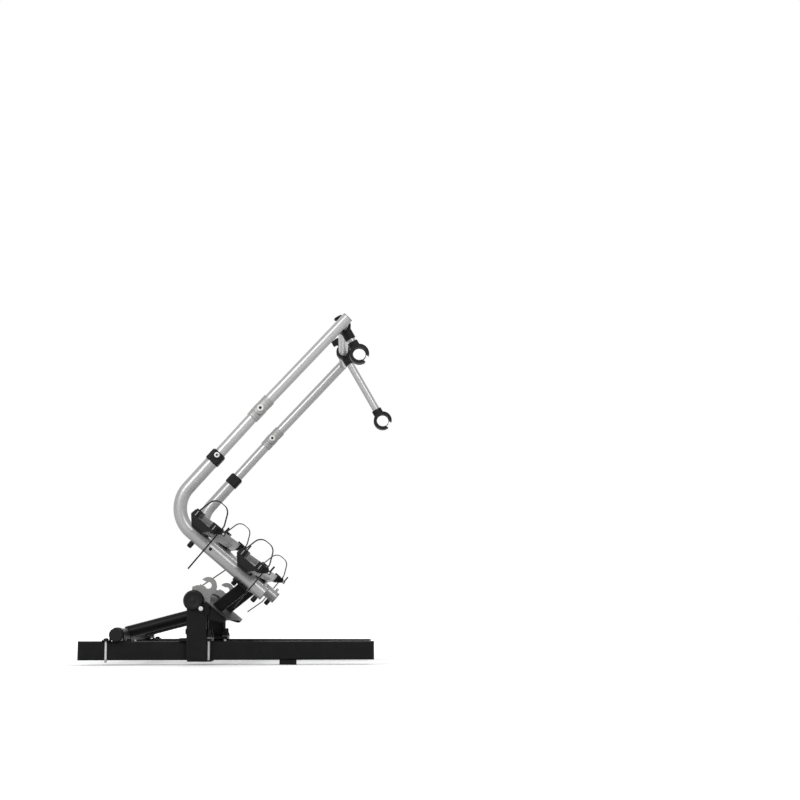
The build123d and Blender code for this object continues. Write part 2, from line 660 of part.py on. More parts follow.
def rail_section():
    """Open trough section of a wheel rail, from the middle of its floor."""
    floor_in = RAIL_FLOOR - 1.0
    side_in = RAIL_HALF_WIDTH - RAIL_WALL
    return outline(
        (-RAIL_FLOOR, 0), (RAIL_FLOOR, 0), (RAIL_HALF_WIDTH, RAIL_SHOULDER), (RAIL_HALF_WIDTH, RAIL_HEIGHT),
        (side_in, RAIL_HEIGHT), (side_in, RAIL_SHOULDER + 1), (floor_in, RAIL_WALL),
        (-floor_in, RAIL_WALL), (-side_in, RAIL_SHOULDER + 1), (-side_in, RAIL_HEIGHT),
        (-RAIL_HALF_WIDTH, RAIL_HEIGHT), (-RAIL_HALF_WIDTH, RAIL_SHOULDER))


def wheel_rail(x):
    rail = Pos(x, 0, RAIL_BOTTOM) * slab(rail_section(), -RAIL_HALF, RAIL_HALF)
    hole = RAIL_BOLT_D / 2 + RUN_FIT
    for y in (-SIDE_TUBE_Y, SIDE_TUBE_Y):
        rail -= rod_z(x + RAIL_BOLT_OFFSET, y, RAIL_BOTTOM, RAIL_BOTTOM + RAIL_WALL, hole)
    return rail


def rail_trim(x):
    """Plastic trim that closes a rail's end."""
    half = RAIL_HALF_WIDTH
    top = RAIL_SHOULDER + RAIL_TRIM_RISE
    solid = outline(
        (-RAIL_FLOOR, 0), (RAIL_FLOOR, 0), (half, RAIL_SHOULDER), (half, top), (-half, top),
        (-half, RAIL_SHOULDER))
    return Pos(x, 0, RAIL_BOTTOM) * slab(solid, RAIL_HALF, RAIL_HALF + RAIL_TRIM)


def holder_section():
    """Section of a wheel holder: a shell round the rail's rear, a liner inside it and a trough."""
    wall = HOLDER_WALL
    half = RAIL_HALF_WIDTH + wall
    top = RAIL_HEIGHT + HOLDER_LIP
    trough = HOLDER_TROUGH_HALF
    toe = RAIL_FLOOR - 2
    skin = RAIL_WALL / 2
    wing_low = RAIL_SHOULDER - wall + 1
    wing_back = toe + skin + (wing_low - skin) * (RAIL_HALF_WIDTH - RAIL_FLOOR) / RAIL_SHOULDER
    shell = outline(
        (-HOLDER_BELLY, -wall), (toe, -wall), (toe, skin), (wing_back, wing_low), (half - 4, wing_low),
        (half, RAIL_SHOULDER), (half, top), (-half, top), (-half - HOLDER_HIP, RAIL_SHOULDER + HOLDER_LIP))
    shell -= outline(
        (-trough / 2, HOLDER_TROUGH_FLOOR), (trough / 2, HOLDER_TROUGH_FLOOR), (trough, RAIL_SHOULDER + 6),
        (trough, top), (-trough, top), (-trough, RAIL_SHOULDER + 6))
    return shell - rail_section()


def wheel_holder(x):
    holder = slab(holder_section(), HOLDER_INNER_Y, HOLDER_INNER_Y + HOLDER_LENGTH)
    return (Pos(x, 0, RAIL_BOTTOM) * holder).solids()


def strap_y():
    return HOLDER_INNER_Y + HOLDER_LENGTH / 2


def wheel_strap(x, tail, swing):
    """Ratchet strap from the rear wing over the wheel's place and down through the buckle, with its tail."""
    rear = -RAIL_HALF_WIDTH - HOLDER_WALL / 2
    front = WHEEL_STRAP_X
    half = WHEEL_STRAP_HALF
    points = [
        (rear, RAIL_HEIGHT + HOLDER_LIP + CLEAR), (-half, WHEEL_STRAP_TOP), (half, WHEEL_STRAP_TOP),
        (front, BUCKLE_TOP + HOLDER_WALL)]
    if swing:
        points.append((front, -TAIL_BEND))
    points.append((front - swing, -tail))
    face = trace(FilletPolyline(*points, radius=WHEEL_STRAP_RADIUS), WHEEL_STRAP)
    y = strap_y()
    return Pos(x, 0, RAIL_BOTTOM) * slab(face, y - WHEEL_STRAP_WIDTH / 2, y + WHEEL_STRAP_WIDTH / 2)


def buckle(x):
    """Ratchet buckle on the holder's front wing, with a slot for the strap and ears for the lever."""
    back = RAIL_HALF_WIDTH + HOLDER_WALL
    front = back + BUCKLE_DEPTH
    slope = BUCKLE_SLOPE
    y = strap_y()
    half = BUCKLE_WIDTH / 2
    middle = (BUCKLE_BOTTOM + BUCKLE_TOP) / 2
    side = outline(
        (back, BUCKLE_BOTTOM), (front - slope, BUCKLE_BOTTOM + slope), (front, middle - 1),
        (front, BUCKLE_TOP - slope), (front - slope, BUCKLE_TOP), (back, BUCKLE_TOP - slope))
    body = slab(side, y - half, y + half)
    gap = WHEEL_STRAP / 2 + CLEAR
    strap_half = WHEEL_STRAP_WIDTH / 2 + CLEAR
    slot_x = WHEEL_STRAP_X
    body -= box(slot_x - gap, slot_x + gap, y - strap_half, y + strap_half, BUCKLE_BOTTOM, BUCKLE_TOP)
    px, pz = lever_pin()
    for end in (-1, 1):
        low = y + min(end * half, end * (half - LEVER_EAR))
        ear = box(front, px + LEVER_PIN_D, low, low + LEVER_EAR, middle - 1, pz + LEVER_PIN_D)
        body += ear - rod_y(px, pz, low, low + LEVER_EAR, LEVER_PIN_D / 2 + RUN_FIT / 2)
    return Pos(x, 0, RAIL_BOTTOM) * body


def lever_pin():
    """X and Z of the lever's pin from the middle of the rail's floor."""
    return RAIL_HALF_WIDTH + HOLDER_WALL + BUCKLE_DEPTH + LEVER_OUT, BUCKLE_BOTTOM + BUCKLE_SLOPE + LEVER_RISE


def buckle_lever(x):
    px, pz = lever_pin()
    y = strap_y()
    half = LEVER_WIDTH / 2
    back = px - LEVER_PLATE / 2
    plate = box(back, back + LEVER_PLATE, y - half, y + half, pz, pz + LEVER_LENGTH)
    plate += rod_y(px, pz, y - half, y + half, LEVER_PIN_D / 2 + 1)
    plate += rod_y(px, pz, y - BUCKLE_WIDTH / 2, y + BUCKLE_WIDTH / 2, LEVER_PIN_D / 2)
    return Pos(x, 0, RAIL_BOTTOM) * plate


def collar():
    """Telescope clamp block: the lower half grips the side tube, the upper half the inner tube."""
    half = COLLAR_LENGTH / 2
    section = RectangleRounded(COLLAR_ACROSS, COLLAR_ACROSS, COLLAR_CORNER)
    block = Pos(0, 0, COLLAR_AT - half) * extrude(section, COLLAR_LENGTH)
    block -= Pos(0, 0, COLLAR_AT - half / 2) * Cylinder(SIDE_TUBE_D / 2, half)
    block -= Pos(0, 0, COLLAR_AT + half / 2) * Cylinder(INNER_TUBE_D / 2 + RUN_FIT, half)
    block -= rod_y(0, COLLAR_AT + half / 2, COLLAR_ACROSS / 4, COLLAR_ACROSS * 3 / 4, RAIL_BOLT_D / 2)
    return upright_frame() * block


def collar_screw():
    """Screw on the collar's outer face; its tip bears on the inner tube."""
    half = COLLAR_LENGTH / 2
    face = COLLAR_ACROSS / 2
    tip = INNER_TUBE_D / 2 + RUN_FIT
    z = COLLAR_AT + half / 2
    shank = rod_y(0, z, tip, face, RAIL_BOLT_D / 2)
    block_hole = rod_y(0, z, tip, face, RAIL_BOLT_D / 2)
    head = rod_y(0, z, face, face + COLLAR_SCREW, COLLAR_SCREW_D / 2)
    head = fillet(head.faces().sort_by(Axis.Y)[-1].edges(), 1.5)
    round_tip = Pos(0, 0, COLLAR_AT + half / 2) * Cylinder(INNER_TUBE_D / 2 + RUN_FIT, half)
    return upright_frame() * ((shank & block_hole) + head - round_tip)


def inner_tube():
    low = COLLAR_AT - INNER_TUBE_DEPTH
    high = KNUCKLE_AT - KNUCKLE_REACH - KNUCKLE_SLEEVE / 2
    tube = Cylinder(INNER_TUBE_D / 2, high - low) - Cylinder(INNER_TUBE_D / 2 - INNER_TUBE_WALL, high - low)
    return upright_frame() * Pos(0, 0, (high + low) / 2) * tube


def knuckle_sleeve(sign):
    """Sleeve over a tube's end, below or above the fold pin."""
    far = KNUCKLE_REACH + KNUCKLE_SLEEVE
    near = KNUCKLE_REACH - 2
    sleeve = Pos(0, 0, sign * (far + near) / 2) * Cylinder(KNUCKLE_R, far - near)
    seat = KNUCKLE_SLEEVE / 2
    sleeve -= Pos(0, 0, sign * (far - seat / 2)) * Cylinder(INNER_TUBE_D / 2, seat)
    return sleeve


def lower_knuckle():
    """Sleeve on the inner tube with a middle tongue round the fold pin."""
    half = KNUCKLE_TONGUE / 2
    tongue = slab(Circle(KNUCKLE_R), -half, half)
    tongue += box(-KNUCKLE_R, KNUCKLE_R, -half, half, -KNUCKLE_REACH, 0)
    body = tongue + knuckle_sleeve(-1)
    body -= rod_y(0, 0, -half, half, KNUCKLE_PIN_D / 2)
    return upright_frame() * Pos(0, 0, KNUCKLE_AT) * body


def upper_knuckle():
    """Sleeve on the upper tube with two cheeks beside the tongue."""
    gap = KNUCKLE_TONGUE / 2 + CLEAR
    body = slab(Circle(KNUCKLE_R), -KNUCKLE_R, KNUCKLE_R)
    body += box(-KNUCKLE_R, KNUCKLE_R, -KNUCKLE_R, KNUCKLE_R, 0, KNUCKLE_REACH)
    body &= Cylinder(KNUCKLE_R, 4 * KNUCKLE_REACH)
    body += knuckle_sleeve(1)
    body -= slab(Circle(KNUCKLE_R + CLEAR), -gap, gap)
    body -= box(0, KNUCKLE_R + 1, -gap, gap, -KNUCKLE_R, KNUCKLE_R + 2 * CLEAR)
    body -= rod_y(0, 0, -KNUCKLE_R, KNUCKLE_R, KNUCKLE_PIN_D / 2 + RUN_FIT / 2)
    return top_frame() * body


def knuckle_pin():
    reach = KNUCKLE_R + CLEAR
    pin = rod_y(0, 0, -reach, reach, KNUCKLE_PIN_D / 2)
    for side in (-1, 1):
        low = min(side * reach, side * (reach + KNUCKLE_PIN_HEAD))
        pin += rod_y(0, 0, low, low + KNUCKLE_PIN_HEAD, KNUCKLE_PIN_HEAD_D / 2)
    return upright_frame() * Pos(0, 0, KNUCKLE_AT) * pin


def upper_tube():
    low = KNUCKLE_REACH + KNUCKLE_SLEEVE / 2
    length = TOP_LENGTH - low
    tube = Cylinder(INNER_TUBE_D / 2, length) - Cylinder(INNER_TUBE_D / 2 - INNER_TUBE_WALL, length)
    return top_frame() * Pos(0, 0, low + length / 2) * tube


def top_plug():
    disc = Pos(0, 0, TOP_LENGTH + TOP_PLUG / 2) * Cylinder(INNER_TUBE_D / 2, TOP_PLUG)
    spigot = Pos(0, 0, TOP_LENGTH - TOP_PLUG * 2) * Cylinder(INNER_TUBE_D / 2 - INNER_TUBE_WALL, 4 * TOP_PLUG)
    return top_frame() * (disc + spigot)


def crossbar_place():
    """X and Z of the crossbar's axis in the level frame."""
    x, z = hoop_point(KNUCKLE_AT)
    lean = math.radians(TOP_LEAN)
    reach = TOP_LENGTH - CROSSBAR_DROP
    return x + reach * math.sin(lean), z + reach * math.cos(lean)


def top_crossbar():
    x, z = crossbar_place()
    bar = rod_y(x, z, -SIDE_TUBE_Y, SIDE_TUBE_Y, CROSSBAR_D / 2)
    bar -= rod_y(x, z, -SIDE_TUBE_Y, SIDE_TUBE_Y, CROSSBAR_D / 2 - INNER_TUBE_WALL)
    cut = top_frame() * Pos(0, 0, TOP_LENGTH / 2) * Cylinder(INNER_TUBE_D / 2, 2 * TOP_LENGTH)
    bar = bar - cut - mirror(cut, about=Plane.XZ)
    return bar.solids().sort_by(SortBy.VOLUME)[-1]


def arm_frame(y):
    """Frame of a bike arm: origin on the crossbar's axis, X along the arm."""
    x, z = crossbar_place()
    return Pos(x, y, z) * Rot(0, ARM_DROP, 0)


def arm_clamp(y):
    half = ARM_CLAMP_WIDTH / 2
    body = rod_y(0, 0, -half, half, ARM_CLAMP_R)
    body += Pos(ARM_CLAMP_R + 4, 0, 0) * Rot(0, 90, 0) * Cylinder(ARM_TUBE_D / 2 + 4, 2 * ARM_CLAMP_R - 8)
    body -= rod_y(0, 0, -2 * half, 2 * half, CROSSBAR_D / 2 + RUN_FIT / 2)
    seat = ARM_CLAMP_R + 2
    body -= Pos(seat + ARM_CLAMP_R, 0, 0) * Rot(0, 90, 0) * Cylinder(ARM_TUBE_D / 2, 2 * ARM_CLAMP_R)
    return arm_frame(y) * body


def arm_tube(y, length):
    start = ARM_CLAMP_R + 2
    end = length - JAW_R + 4
    tube = Cylinder(ARM_TUBE_D / 2, end - start) - Cylinder(ARM_TUBE_D / 2 - INNER_TUBE_WALL, end - start)
    return arm_frame(y) * Pos((start + end) / 2, 0, 0) * Rot(0, 90, 0) * tube


def arm_jaw(y, length):
    """Open ring that takes a frame tube, its mouth forward and up."""
    half = JAW_WIDTH / 2
    ring = Circle(JAW_R) - Circle(JAW_HOLE_R)
    ring -= Rot(0, 0, 30) * Pos(JAW_R, 0) * Rectangle(JAW_R, JAW_MOUTH)
    jaw = Pos(length, 0, 0) * slab(ring, -half, half)
    socket = ARM_TUBE_D / 2 + 4
    jaw += Pos(length - JAW_R - 4, 0, 0) * Rot(0, 90, 0) * Cylinder(socket, 16)
    jaw -= rod_y(length, 0, -half, half, JAW_HOLE_R)
    end = length - JAW_R + 4
    jaw -= Pos(end - 20, 0, 0) * Rot(0, 90, 0) * Cylinder(ARM_TUBE_D / 2, 40)
    return arm_frame(y) * jaw


def arm_knob(y):
    """Star knob that tightens the arm on the crossbar, on the clamp's rear side."""
    star = Circle(KNOB_R)
    for i in range(6):
        star -= Rot(0, 0, 60 * i) * Pos(KNOB_R + 2.5, 0) * Circle(5)
    start = ARM_CLAMP_R + KNOB_STEM
    knob = Pos(0, 0, start) * extrude(star, KNOB)
    stem_low = ARM_CLAMP_R + CLEAR
    knob += rod_z(0, 0, stem_low, start, KNOB_STEM_R)
    return arm_frame(y) * Rot(0, -90, 0) * knob


def export(name, solids):
    """Writes one named sub-part."""
    flat = []
    for solid in solids if isinstance(solids, (list, tuple)) else [solids]:
        flat += solid.solids()
    shape = flat[0] if len(flat) == 1 else Compound(children=flat)
    export_step(shape, f"parts/{name}.step")


def fixed_parts():
    parts = {
        "cross_member": cross_member(),
        "rear_cross_tube": rear_cross_tube(),
        "frame_end_plugs": drawbar_plugs() + pair(rear_tube_cap()),
        "rear_tube_saddles": pair(rear_saddle()),
        "braces": pair(brace()),
        "posts": pair(post()),
        "pivot_plates": [solid for plate in pivot_plates() for solid in pair(plate)],
        "u_bolts": pair(u_bolt()),
        "u_bolt_plates": pair(u_bolt_plate()),
        "clamp_plates": pair(clamp_plate()),
        "clamp_bolts": [solid for bolt in clamp_bolts() for solid in pair(bolt)],
        "clamp_nuts": [solid for nut in clamp_nuts() for solid in pair(nut)],
        "post_side_bolts": pair(side_bolt()),
        "hinge_tube": hinge_tube(),
        "hinge_tube_caps": pair(hinge_cap()),
        "hinge_washers": [solid for ring in hinge_washers() for solid in pair(ring)],
    }
    for side_name, side in SIDES.items():
        parts[f"drawbar_rail_{side_name}"] = on_side(drawbar_rail(), side)
        parts[f"lock_pin_{side_name}"] = on_side(lock_pin(), side)
    return parts


def platform_parts():
    parts = {
        "tilt_brackets": [solid for cheek in tilt_cheeks() for solid in pair(cheek)],
        "tilt_plate": tilt_plate(),
        "tilt_posts": pair(tilt_post()),
        "hook_plates": pair(hook_plate()),
        "tilt_top_plate": top_plate(),
        "side_tube_plugs": pair(side_plug()),
        "rail_bolts": [solid for bolt in rail_bolts() for solid in pair(bolt)],
        "rail_pads": [solid for x in RAILS.values() for solid in pair(rail_pad(x))],
        "rail_knobs": [solid for knob in rail_knobs() for solid in pair(knob)],
        "wheel_rail_trims": [solid for x in RAILS.values() for solid in pair(rail_trim(x))],
        "telescope_collars": pair(collar()),
        "collar_screws": pair(collar_screw()),
        "strap_buckles": [solid for x in RAILS.values() for solid in pair(buckle(x))],
    }
    for side_name, side in SIDES.items():
        parts[f"side_tube_{side_name}"] = on_side(side_tube(), side)
    for rail_name, x in RAILS.items():
        parts[f"wheel_rail_{rail_name}"] = wheel_rail(x)
        holders = wheel_holder(x)
        parts[f"wheel_holders_{rail_name}"] = holders + [mirror(part, about=Plane.XZ) for part in holders]
        far_tail, swing = FAR_TAILS[rail_name]
        left = wheel_strap(x, far_tail, swing)
        right = mirror(wheel_strap(x, TAIL_NEAR, 0), about=Plane.XZ)
        parts[f"wheel_straps_{rail_name}"] = [left, right]
        for side_name, side in SIDES.items():
            parts[f"buckle_lever_{rail_name}_{side_name}"] = on_side(buckle_lever(x), side)
    return parts


def hoop_parts():
    parts = {
        "inner_tubes": pair(inner_tube()),
        "upper_tubes": pair(upper_tube()),
        "lower_knuckles": pair(lower_knuckle()),
        "knuckle_pins": pair(knuckle_pin()),
        "upper_knuckles": pair(upper_knuckle()),
        "top_crossbar": top_crossbar(),
        "hoop_top_plugs": pair(top_plug()),
    }
    for arm_name, y, length in (("short", ARM_SHORT_Y, ARM_SHORT), ("long", ARM_LONG_Y, ARM_LONG)):
        parts[f"arm_clamp_{arm_name}"] = arm_clamp(y)
        parts[f"arm_tube_{arm_name}"] = arm_tube(y, length)
        parts[f"arm_jaw_{arm_name}"] = arm_jaw(y, length)
        parts[f"arm_knob_{arm_name}"] = arm_knob(y)
    return parts


def main():
    os.makedirs("parts", exist_ok=True)
    for name, solids in fixed_parts().items():
        export(name, solids)
    for name, solids in {**platform_parts(), **hoop_parts()}.items():
        group = solids if isinstance(solids, (list, tuple)) else [solids]
        export(name, [level(solid) for solid in group])


main()
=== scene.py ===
import bpy
import bmesh
import json
import math
from mathutils import Matrix, Vector


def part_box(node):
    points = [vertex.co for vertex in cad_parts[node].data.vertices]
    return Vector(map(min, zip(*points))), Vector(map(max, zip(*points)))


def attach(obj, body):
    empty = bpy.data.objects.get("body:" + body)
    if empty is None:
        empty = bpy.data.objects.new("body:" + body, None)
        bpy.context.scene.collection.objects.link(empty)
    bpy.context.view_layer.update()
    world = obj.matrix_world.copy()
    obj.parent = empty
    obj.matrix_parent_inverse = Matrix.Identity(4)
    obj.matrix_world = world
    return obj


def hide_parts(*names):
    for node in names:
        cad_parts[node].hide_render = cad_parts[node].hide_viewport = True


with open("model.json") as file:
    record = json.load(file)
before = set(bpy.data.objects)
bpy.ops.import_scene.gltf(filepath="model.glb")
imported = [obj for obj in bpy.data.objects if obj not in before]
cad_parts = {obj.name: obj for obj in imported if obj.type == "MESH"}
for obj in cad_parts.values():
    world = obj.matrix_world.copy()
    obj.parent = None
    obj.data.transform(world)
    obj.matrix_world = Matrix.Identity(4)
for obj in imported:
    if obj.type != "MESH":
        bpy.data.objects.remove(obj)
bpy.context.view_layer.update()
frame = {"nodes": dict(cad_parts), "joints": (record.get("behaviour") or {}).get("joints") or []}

MM = 0.001
SIDES = (1, -1)
HINGE = Vector(next(j for j in frame["joints"] if j["name"] == "platform_tilt")["pos_m"])
TILT = math.radians(40.2)
LEVEL = Matrix.Translation(HINGE) @ Matrix.Rotation(TILT, 4, "Y")

# Fixed frame, in millimetres
BAR_TOP = 63
FOOT_TOP = 71
POST_X = (-264, -217)
POST_Y = (334, 366)
HINGE_R = 24.15
HINGE_END_Y = 400
BRACE_R = 16.5
BRACE_Y = 200
BRACE_START = (-449, 84.3)
BRACE_END = (-247, 137.5)
REAR_TUBE = (-449, 80)
REAR_TUBE_R = 17
CLAMP_BOLT_X = -206
CLAMP_BOLT_Y = (294, 373)
THREAD_Z = (10, BAR_TOP - 1)

# Level frame round the hinge, in millimetres
FLANGE = (14.7, 19.7)
CHEEKS_Y = (322, 328, 372, 378)
CHEEK_SEAM_U = (31, 96)
TILT_POST_Y = 200
TILT_POST_HALF = 16
TILT_POST_FOOT = 51.2
TILT_POST_LEAN = math.radians(11.3)
TOP_PLATE_Z = 110.05
SIDE_Y = 400
SIDE_Z = 134.3
SIDE_R = 18.25
BEND_X = -208.9
HOOP_LEAN = math.radians(1.6)
TOP_LEAN = math.radians(2.8)
COLLAR_AT = 193.2
COLLAR_LENGTH = 28.5
KNUCKLE_AT = 372.2
KNUCKLE_R = 17
LOWER_RINGS_AT = (-33.6, -24.5)
UPPER_RINGS_AT = (22.3, 31.4)
PIN_SEAT_Y = 17.45
PIN_HEAD_Y = 21.4
SCREW_SEAT_Y = 19.9
SCREW_HEAD_Y = 26.0
RIVET_U = -52
RIVET_SUNK = 0.1
RIVET_DROP = 0.8
RAILS = {"rear": -95, "front": 60}
RAIL_Z = 156.5
HOLDER_Y = (500, 594)
STRAP_Y = 547
KNOBS = ((-102, 116.05), (53, 110.05), (121, 116.05))
KNOB_LOW = 99.05
ARM_DROP = math.radians(20)
ARMS = {"short": -330, "long": 150}
ARM_LENGTHS = {"short": 90, "long": 240}
JAW_HOLE_R = 18.2
LINING_Y = (-9, 0, 9)
LINING_START = -8
LINING_STEP = 11
LINING_POINTS = 26

# Studio, in metres and degrees
LIGHT_AIM = (0, 0, 0.4)
WORLD_LIGHT = (0.42, 0.42, 0.43, 1)
CAMERA_PLACE = (0.158, -5.2, 0.114)
CAMERA_LENS = 80.415
CAMERA_RISE = 7.0816
CAMERA_TURN = -1.7494


# Shader maths and material trees

class Shade:
    """A socket of a material, on which plain arithmetic adds Math nodes."""

    def __init__(self, finish, socket):
        self.finish = finish
        self.socket = socket

    def _with(self, operation, first, second):
        return self.finish.node("ShaderNodeMath", {"operation": operation}, {0: first, 1: second})

    def __add__(self, other):
        return self._with("ADD", self, other)

    def __radd__(self, other):
        return self._with("ADD", other, self)

    def __sub__(self, other):
        return self._with("SUBTRACT", self, other)

    def __rsub__(self, other):
        return self._with("SUBTRACT", other, self)

    def __mul__(self, other):
        return self._with("MULTIPLY", self, other)

    def __rmul__(self, other):
        return self._with("MULTIPLY", other, self)

    def clamped(self, low, high):
        return self.finish.node("ShaderNodeClamp", {}, {"Value": self, "Min": low, "Max": high})


class Finish:
    """A material: its main shader's fixed values, and the nodes that vary over the surface."""

    def __init__(self, name, color, **fixed):
        self.material = bpy.data.materials.new(name)
        self.material.use_nodes = True
        self.tree = self.material.node_tree
        self.shader = self.tree.nodes["Principled BSDF"]
        self.shader.inputs["Base Color"].default_value = (*color, 1)
        self.material.diffuse_color = (*color, 1)
        for socket, value in fixed.items():
            self.shader.inputs[socket.replace("_", " ")].default_value = value
        self.place = self.node("ShaderNodeTexCoord", {}, {}, "Object")

    def node(self, kind, settings, values, output=0):
        """Any node: its settings first, then its sockets' values or links. Returns one output."""
        made = self.tree.nodes.new(kind)
        for name, value in settings.items():
            if name == "stops":
                ramp = made.color_ramp
                while len(ramp.elements) < len(value):
                    ramp.elements.new(0.5)
                for element, (position, color) in zip(ramp.elements, value):
                    element.position = position
                    element.color = (*color, 1) if hasattr(color, "__len__") else (color, color, color, 1)
            else:
                setattr(made, name, value)
        for name, value in values.items():
            if isinstance(value, Shade):
                self.tree.links.new(value.socket, made.inputs[name])
            else:
                made.inputs[name].default_value = value
        return Shade(self, made.outputs[output])

    def noise(self, scale, detail=3.0, roughness=0.55, stretch=(1, 1, 1), turn=0.0):
        """Noise on object coordinates, per metre; stretch and turn lay it along a grain."""
        place = self.node("ShaderNodeMapping", {}, {
            "Vector": self.place, "Rotation": (0, turn, 0), "Scale": stretch})
        return self.node("ShaderNodeTexNoise", {}, {
            "Vector": place, "Scale": scale, "Detail": detail, "Roughness": roughness}, "Fac")

    def cells(self, scale):
        return self.node("ShaderNodeTexVoronoi", {}, {"Vector": self.place, "Scale": scale}, "Distance")

    def ramp(self, value, stops):
        return self.node("ShaderNodeValToRGB", {"stops": stops}, {"Fac": value}, "Color")

    def blend(self, factor, first, second):
        return self.node("ShaderNodeMix", {"data_type": "RGBA"}, {0: factor, 6: first, 7: second}, 2)

    def bump(self, height, strength, distance, under=None):
        values = {"Height": height, "Strength": strength, "Distance": distance}
        if under is not None:
            values["Normal"] = under
        return self.node("ShaderNodeBump", {}, values)

    def drive(self, **links):
        """Links what varies to the main shader."""
        for socket, value in links.items():
            self.tree.links.new(value.socket, self.shader.inputs[socket.replace("_", " ")])
        return self


def rgb(value, tint=(1, 1, 1)):
    """A grey with a slight tint, as a colour socket takes it."""
    return tuple(value * t for t in tint) + (1,)


def make_black_coat():
    """Satin powder coat on steel: orange peel, soft dust and a few rubbed places."""
    coat = Finish("black_powder_coat", (0.004, 0.004, 0.004), Specular_IOR_Level=0.1)
    cloud = coat.noise(9, 4)
    peel = coat.noise(650, 2, 0.5)
    specks = coat.noise(1900, 1, 0.5)
    dust = coat.ramp(coat.noise(38, 6, 0.7), [(0.45, 0.0), (0.8, 1.0)])
    dark = coat.blend(cloud, rgb(0.003), rgb(0.0055))
    color = coat.blend(dust * 0.35, dark, rgb(0.015, (1, 0.98, 0.95)))
    roughness = (0.32 + cloud * 0.14 + dust * 0.12 + specks * 0.05).clamped(0.2, 0.9)
    relief = coat.bump(specks, 0.12, 0.00012, coat.bump(peel, 0.22, 0.00035))
    return coat.drive(Base_Color=color, Roughness=roughness, Normal=relief).material


def make_anodised(name, turn, light=0.34, rough=0.27):
    """Satin anodised aluminium tube: drawing lines along the tube and a faint cloudy sheen."""
    tube = Finish(name, (light, light, light), Metallic=0.4)
    lines = tube.noise(900, 2, 0.6, (1, 1, 0.012), turn)
    cloud = tube.noise(14, 4, 0.6)
    grain = tube.noise(2400, 1)
    scratch = tube.ramp(tube.noise(700, 2, 0.5, (1, 1, 0.02), turn + 0.1), [(0.7, 0.0), (0.78, 1.0)])
    base = tube.blend(cloud, rgb(light * 0.96, (1, 1, 1.005)), rgb(light * 1.04, (1, 1, 1.01)))
    color = tube.blend(scratch * 0.12, base, rgb(light * 0.8))
    roughness = (rough + cloud * 0.05 + lines * 0.06 + scratch * 0.05).clamped(0.15, 0.8)
    relief = tube.bump(grain, 0.03, 0.00004, tube.bump(lines, 0.06, 0.00006))
    return tube.drive(Base_Color=color, Roughness=roughness, Normal=relief).material


def make_zinc(name="zinc_plate", light=0.5, rough=0.34, metal=0.6):
    """Zinc plate: cloudy crystals, a faint yellow-blue cast and matt patches."""
    zinc = Finish(name, (light, light, light * 0.98), Metallic=metal)
    crystals = zinc.cells(160)
    cloud = zinc.noise(45, 5, 0.65)
    grain = zinc.noise(1500, 2)
    cool = rgb(light * 0.92, (0.98, 1.0, 1.03))
    warm = rgb(light * 1.06, (1.03, 1.01, 0.95))
    color = zinc.blend(cloud, cool, warm)
    dulled = zinc.blend((crystals * 0.5).clamped(0, 0.4), color, rgb(light * 0.7))
    roughness = (rough + cloud * 0.16 + crystals * 0.08).clamped(0.2, 0.85)
    return zinc.drive(Base_Color=dulled, Roughness=roughness, Normal=zinc.bump(grain, 0.12, 0.0001)).material


def make_moulded(name, light=0.006, rough=0.5, grain=0.3):
    """Moulded plastic: fine leathered grain, slight flow marks and scuffs."""
    plastic = Finish(name, (light, light, light * 1.03), Specular_IOR_Level=0.14)
    cells = plastic.cells(1300)
    flow = plastic.noise(22, 4, 0.6)
    scuffs = plastic.ramp(plastic.noise(300, 5, 0.75), [(0.6, 0.0), (0.75, 1.0)])
    color = plastic.blend(flow, rgb(light * 0.8), rgb(light * 1.25, (1, 1, 1.03)))
    worn = plastic.blend(scuffs * 0.3, color, rgb(light * 1.8 + 0.006))
    roughness = (rough + flow * 0.1 + scuffs * 0.12 - cells * 0.06).clamped(0.25, 0.95)
    relief = plastic.bump(cells, grain, 0.00015)
    return plastic.drive(Base_Color=worn, Roughness=roughness, Normal=relief).material


def make_rail_metal():
    """Mill-finish grey extrusion: die lines along the rail, and tyre scuffs."""
    rail = Finish("grey_rail_extrusion", (0.2, 0.2, 0.205), Metallic=0.45)
    lines = rail.noise(700, 2, 0.6, (1, 0.008, 1))
    broad = rail.noise(60, 2, 0.5, (1, 0.03, 1))
    cloud = rail.noise(12, 4, 0.6)
    scuffs = rail.ramp(rail.noise(120, 5, 0.75), [(0.62, 0.0), (0.74, 1.0)])
    base = rail.blend(broad, rgb(0.17), rgb(0.23, (1, 1, 1.02)))
    color = rail.blend(scuffs * 0.3, base, rgb(0.1))
    roughness = (0.34 + cloud * 0.16 + scuffs * 0.15).clamped(0.2, 0.9)
    return rail.drive(Base_Color=color, Roughness=roughness, Normal=rail.bump(lines, 0.25, 0.0001)).material


hoop_turn = -(TILT + (HOOP_LEAN + TOP_LEAN) / 2)
black_coat = make_black_coat()
hoop_metal = make_anodised("satin_anodised_hoop", hoop_turn)
side_metal = make_anodised("satin_anodised_side_tube", hoop_turn + math.pi / 2, 0.31, 0.3)
cast_metal = make_zinc("cast_knuckle_metal", 0.3, 0.42, 0.5)
zinc = make_zinc()
hook_zinc = make_zinc("dull_zinc_hook", 0.2, 0.5, 0.4)
rail_metal = make_rail_metal()
black_plastic = make_moulded("black_moulded_plastic")
cap_plastic = make_moulded("black_cap_plastic", 0.005, 0.5, 0.4)
cap_grey = make_moulded("hinge_insert_plastic", 0.007, 0.4, 0.2)
grey_plastic = make_moulded("grey_plug_plastic", 0.14, 0.55, 0.3)
strap_plastic = make_moulded("strap_plastic", 0.005, 0.4, 0.15)
knob_rubber = make_moulded("knob_rubber", 0.008, 0.7, 0.6)

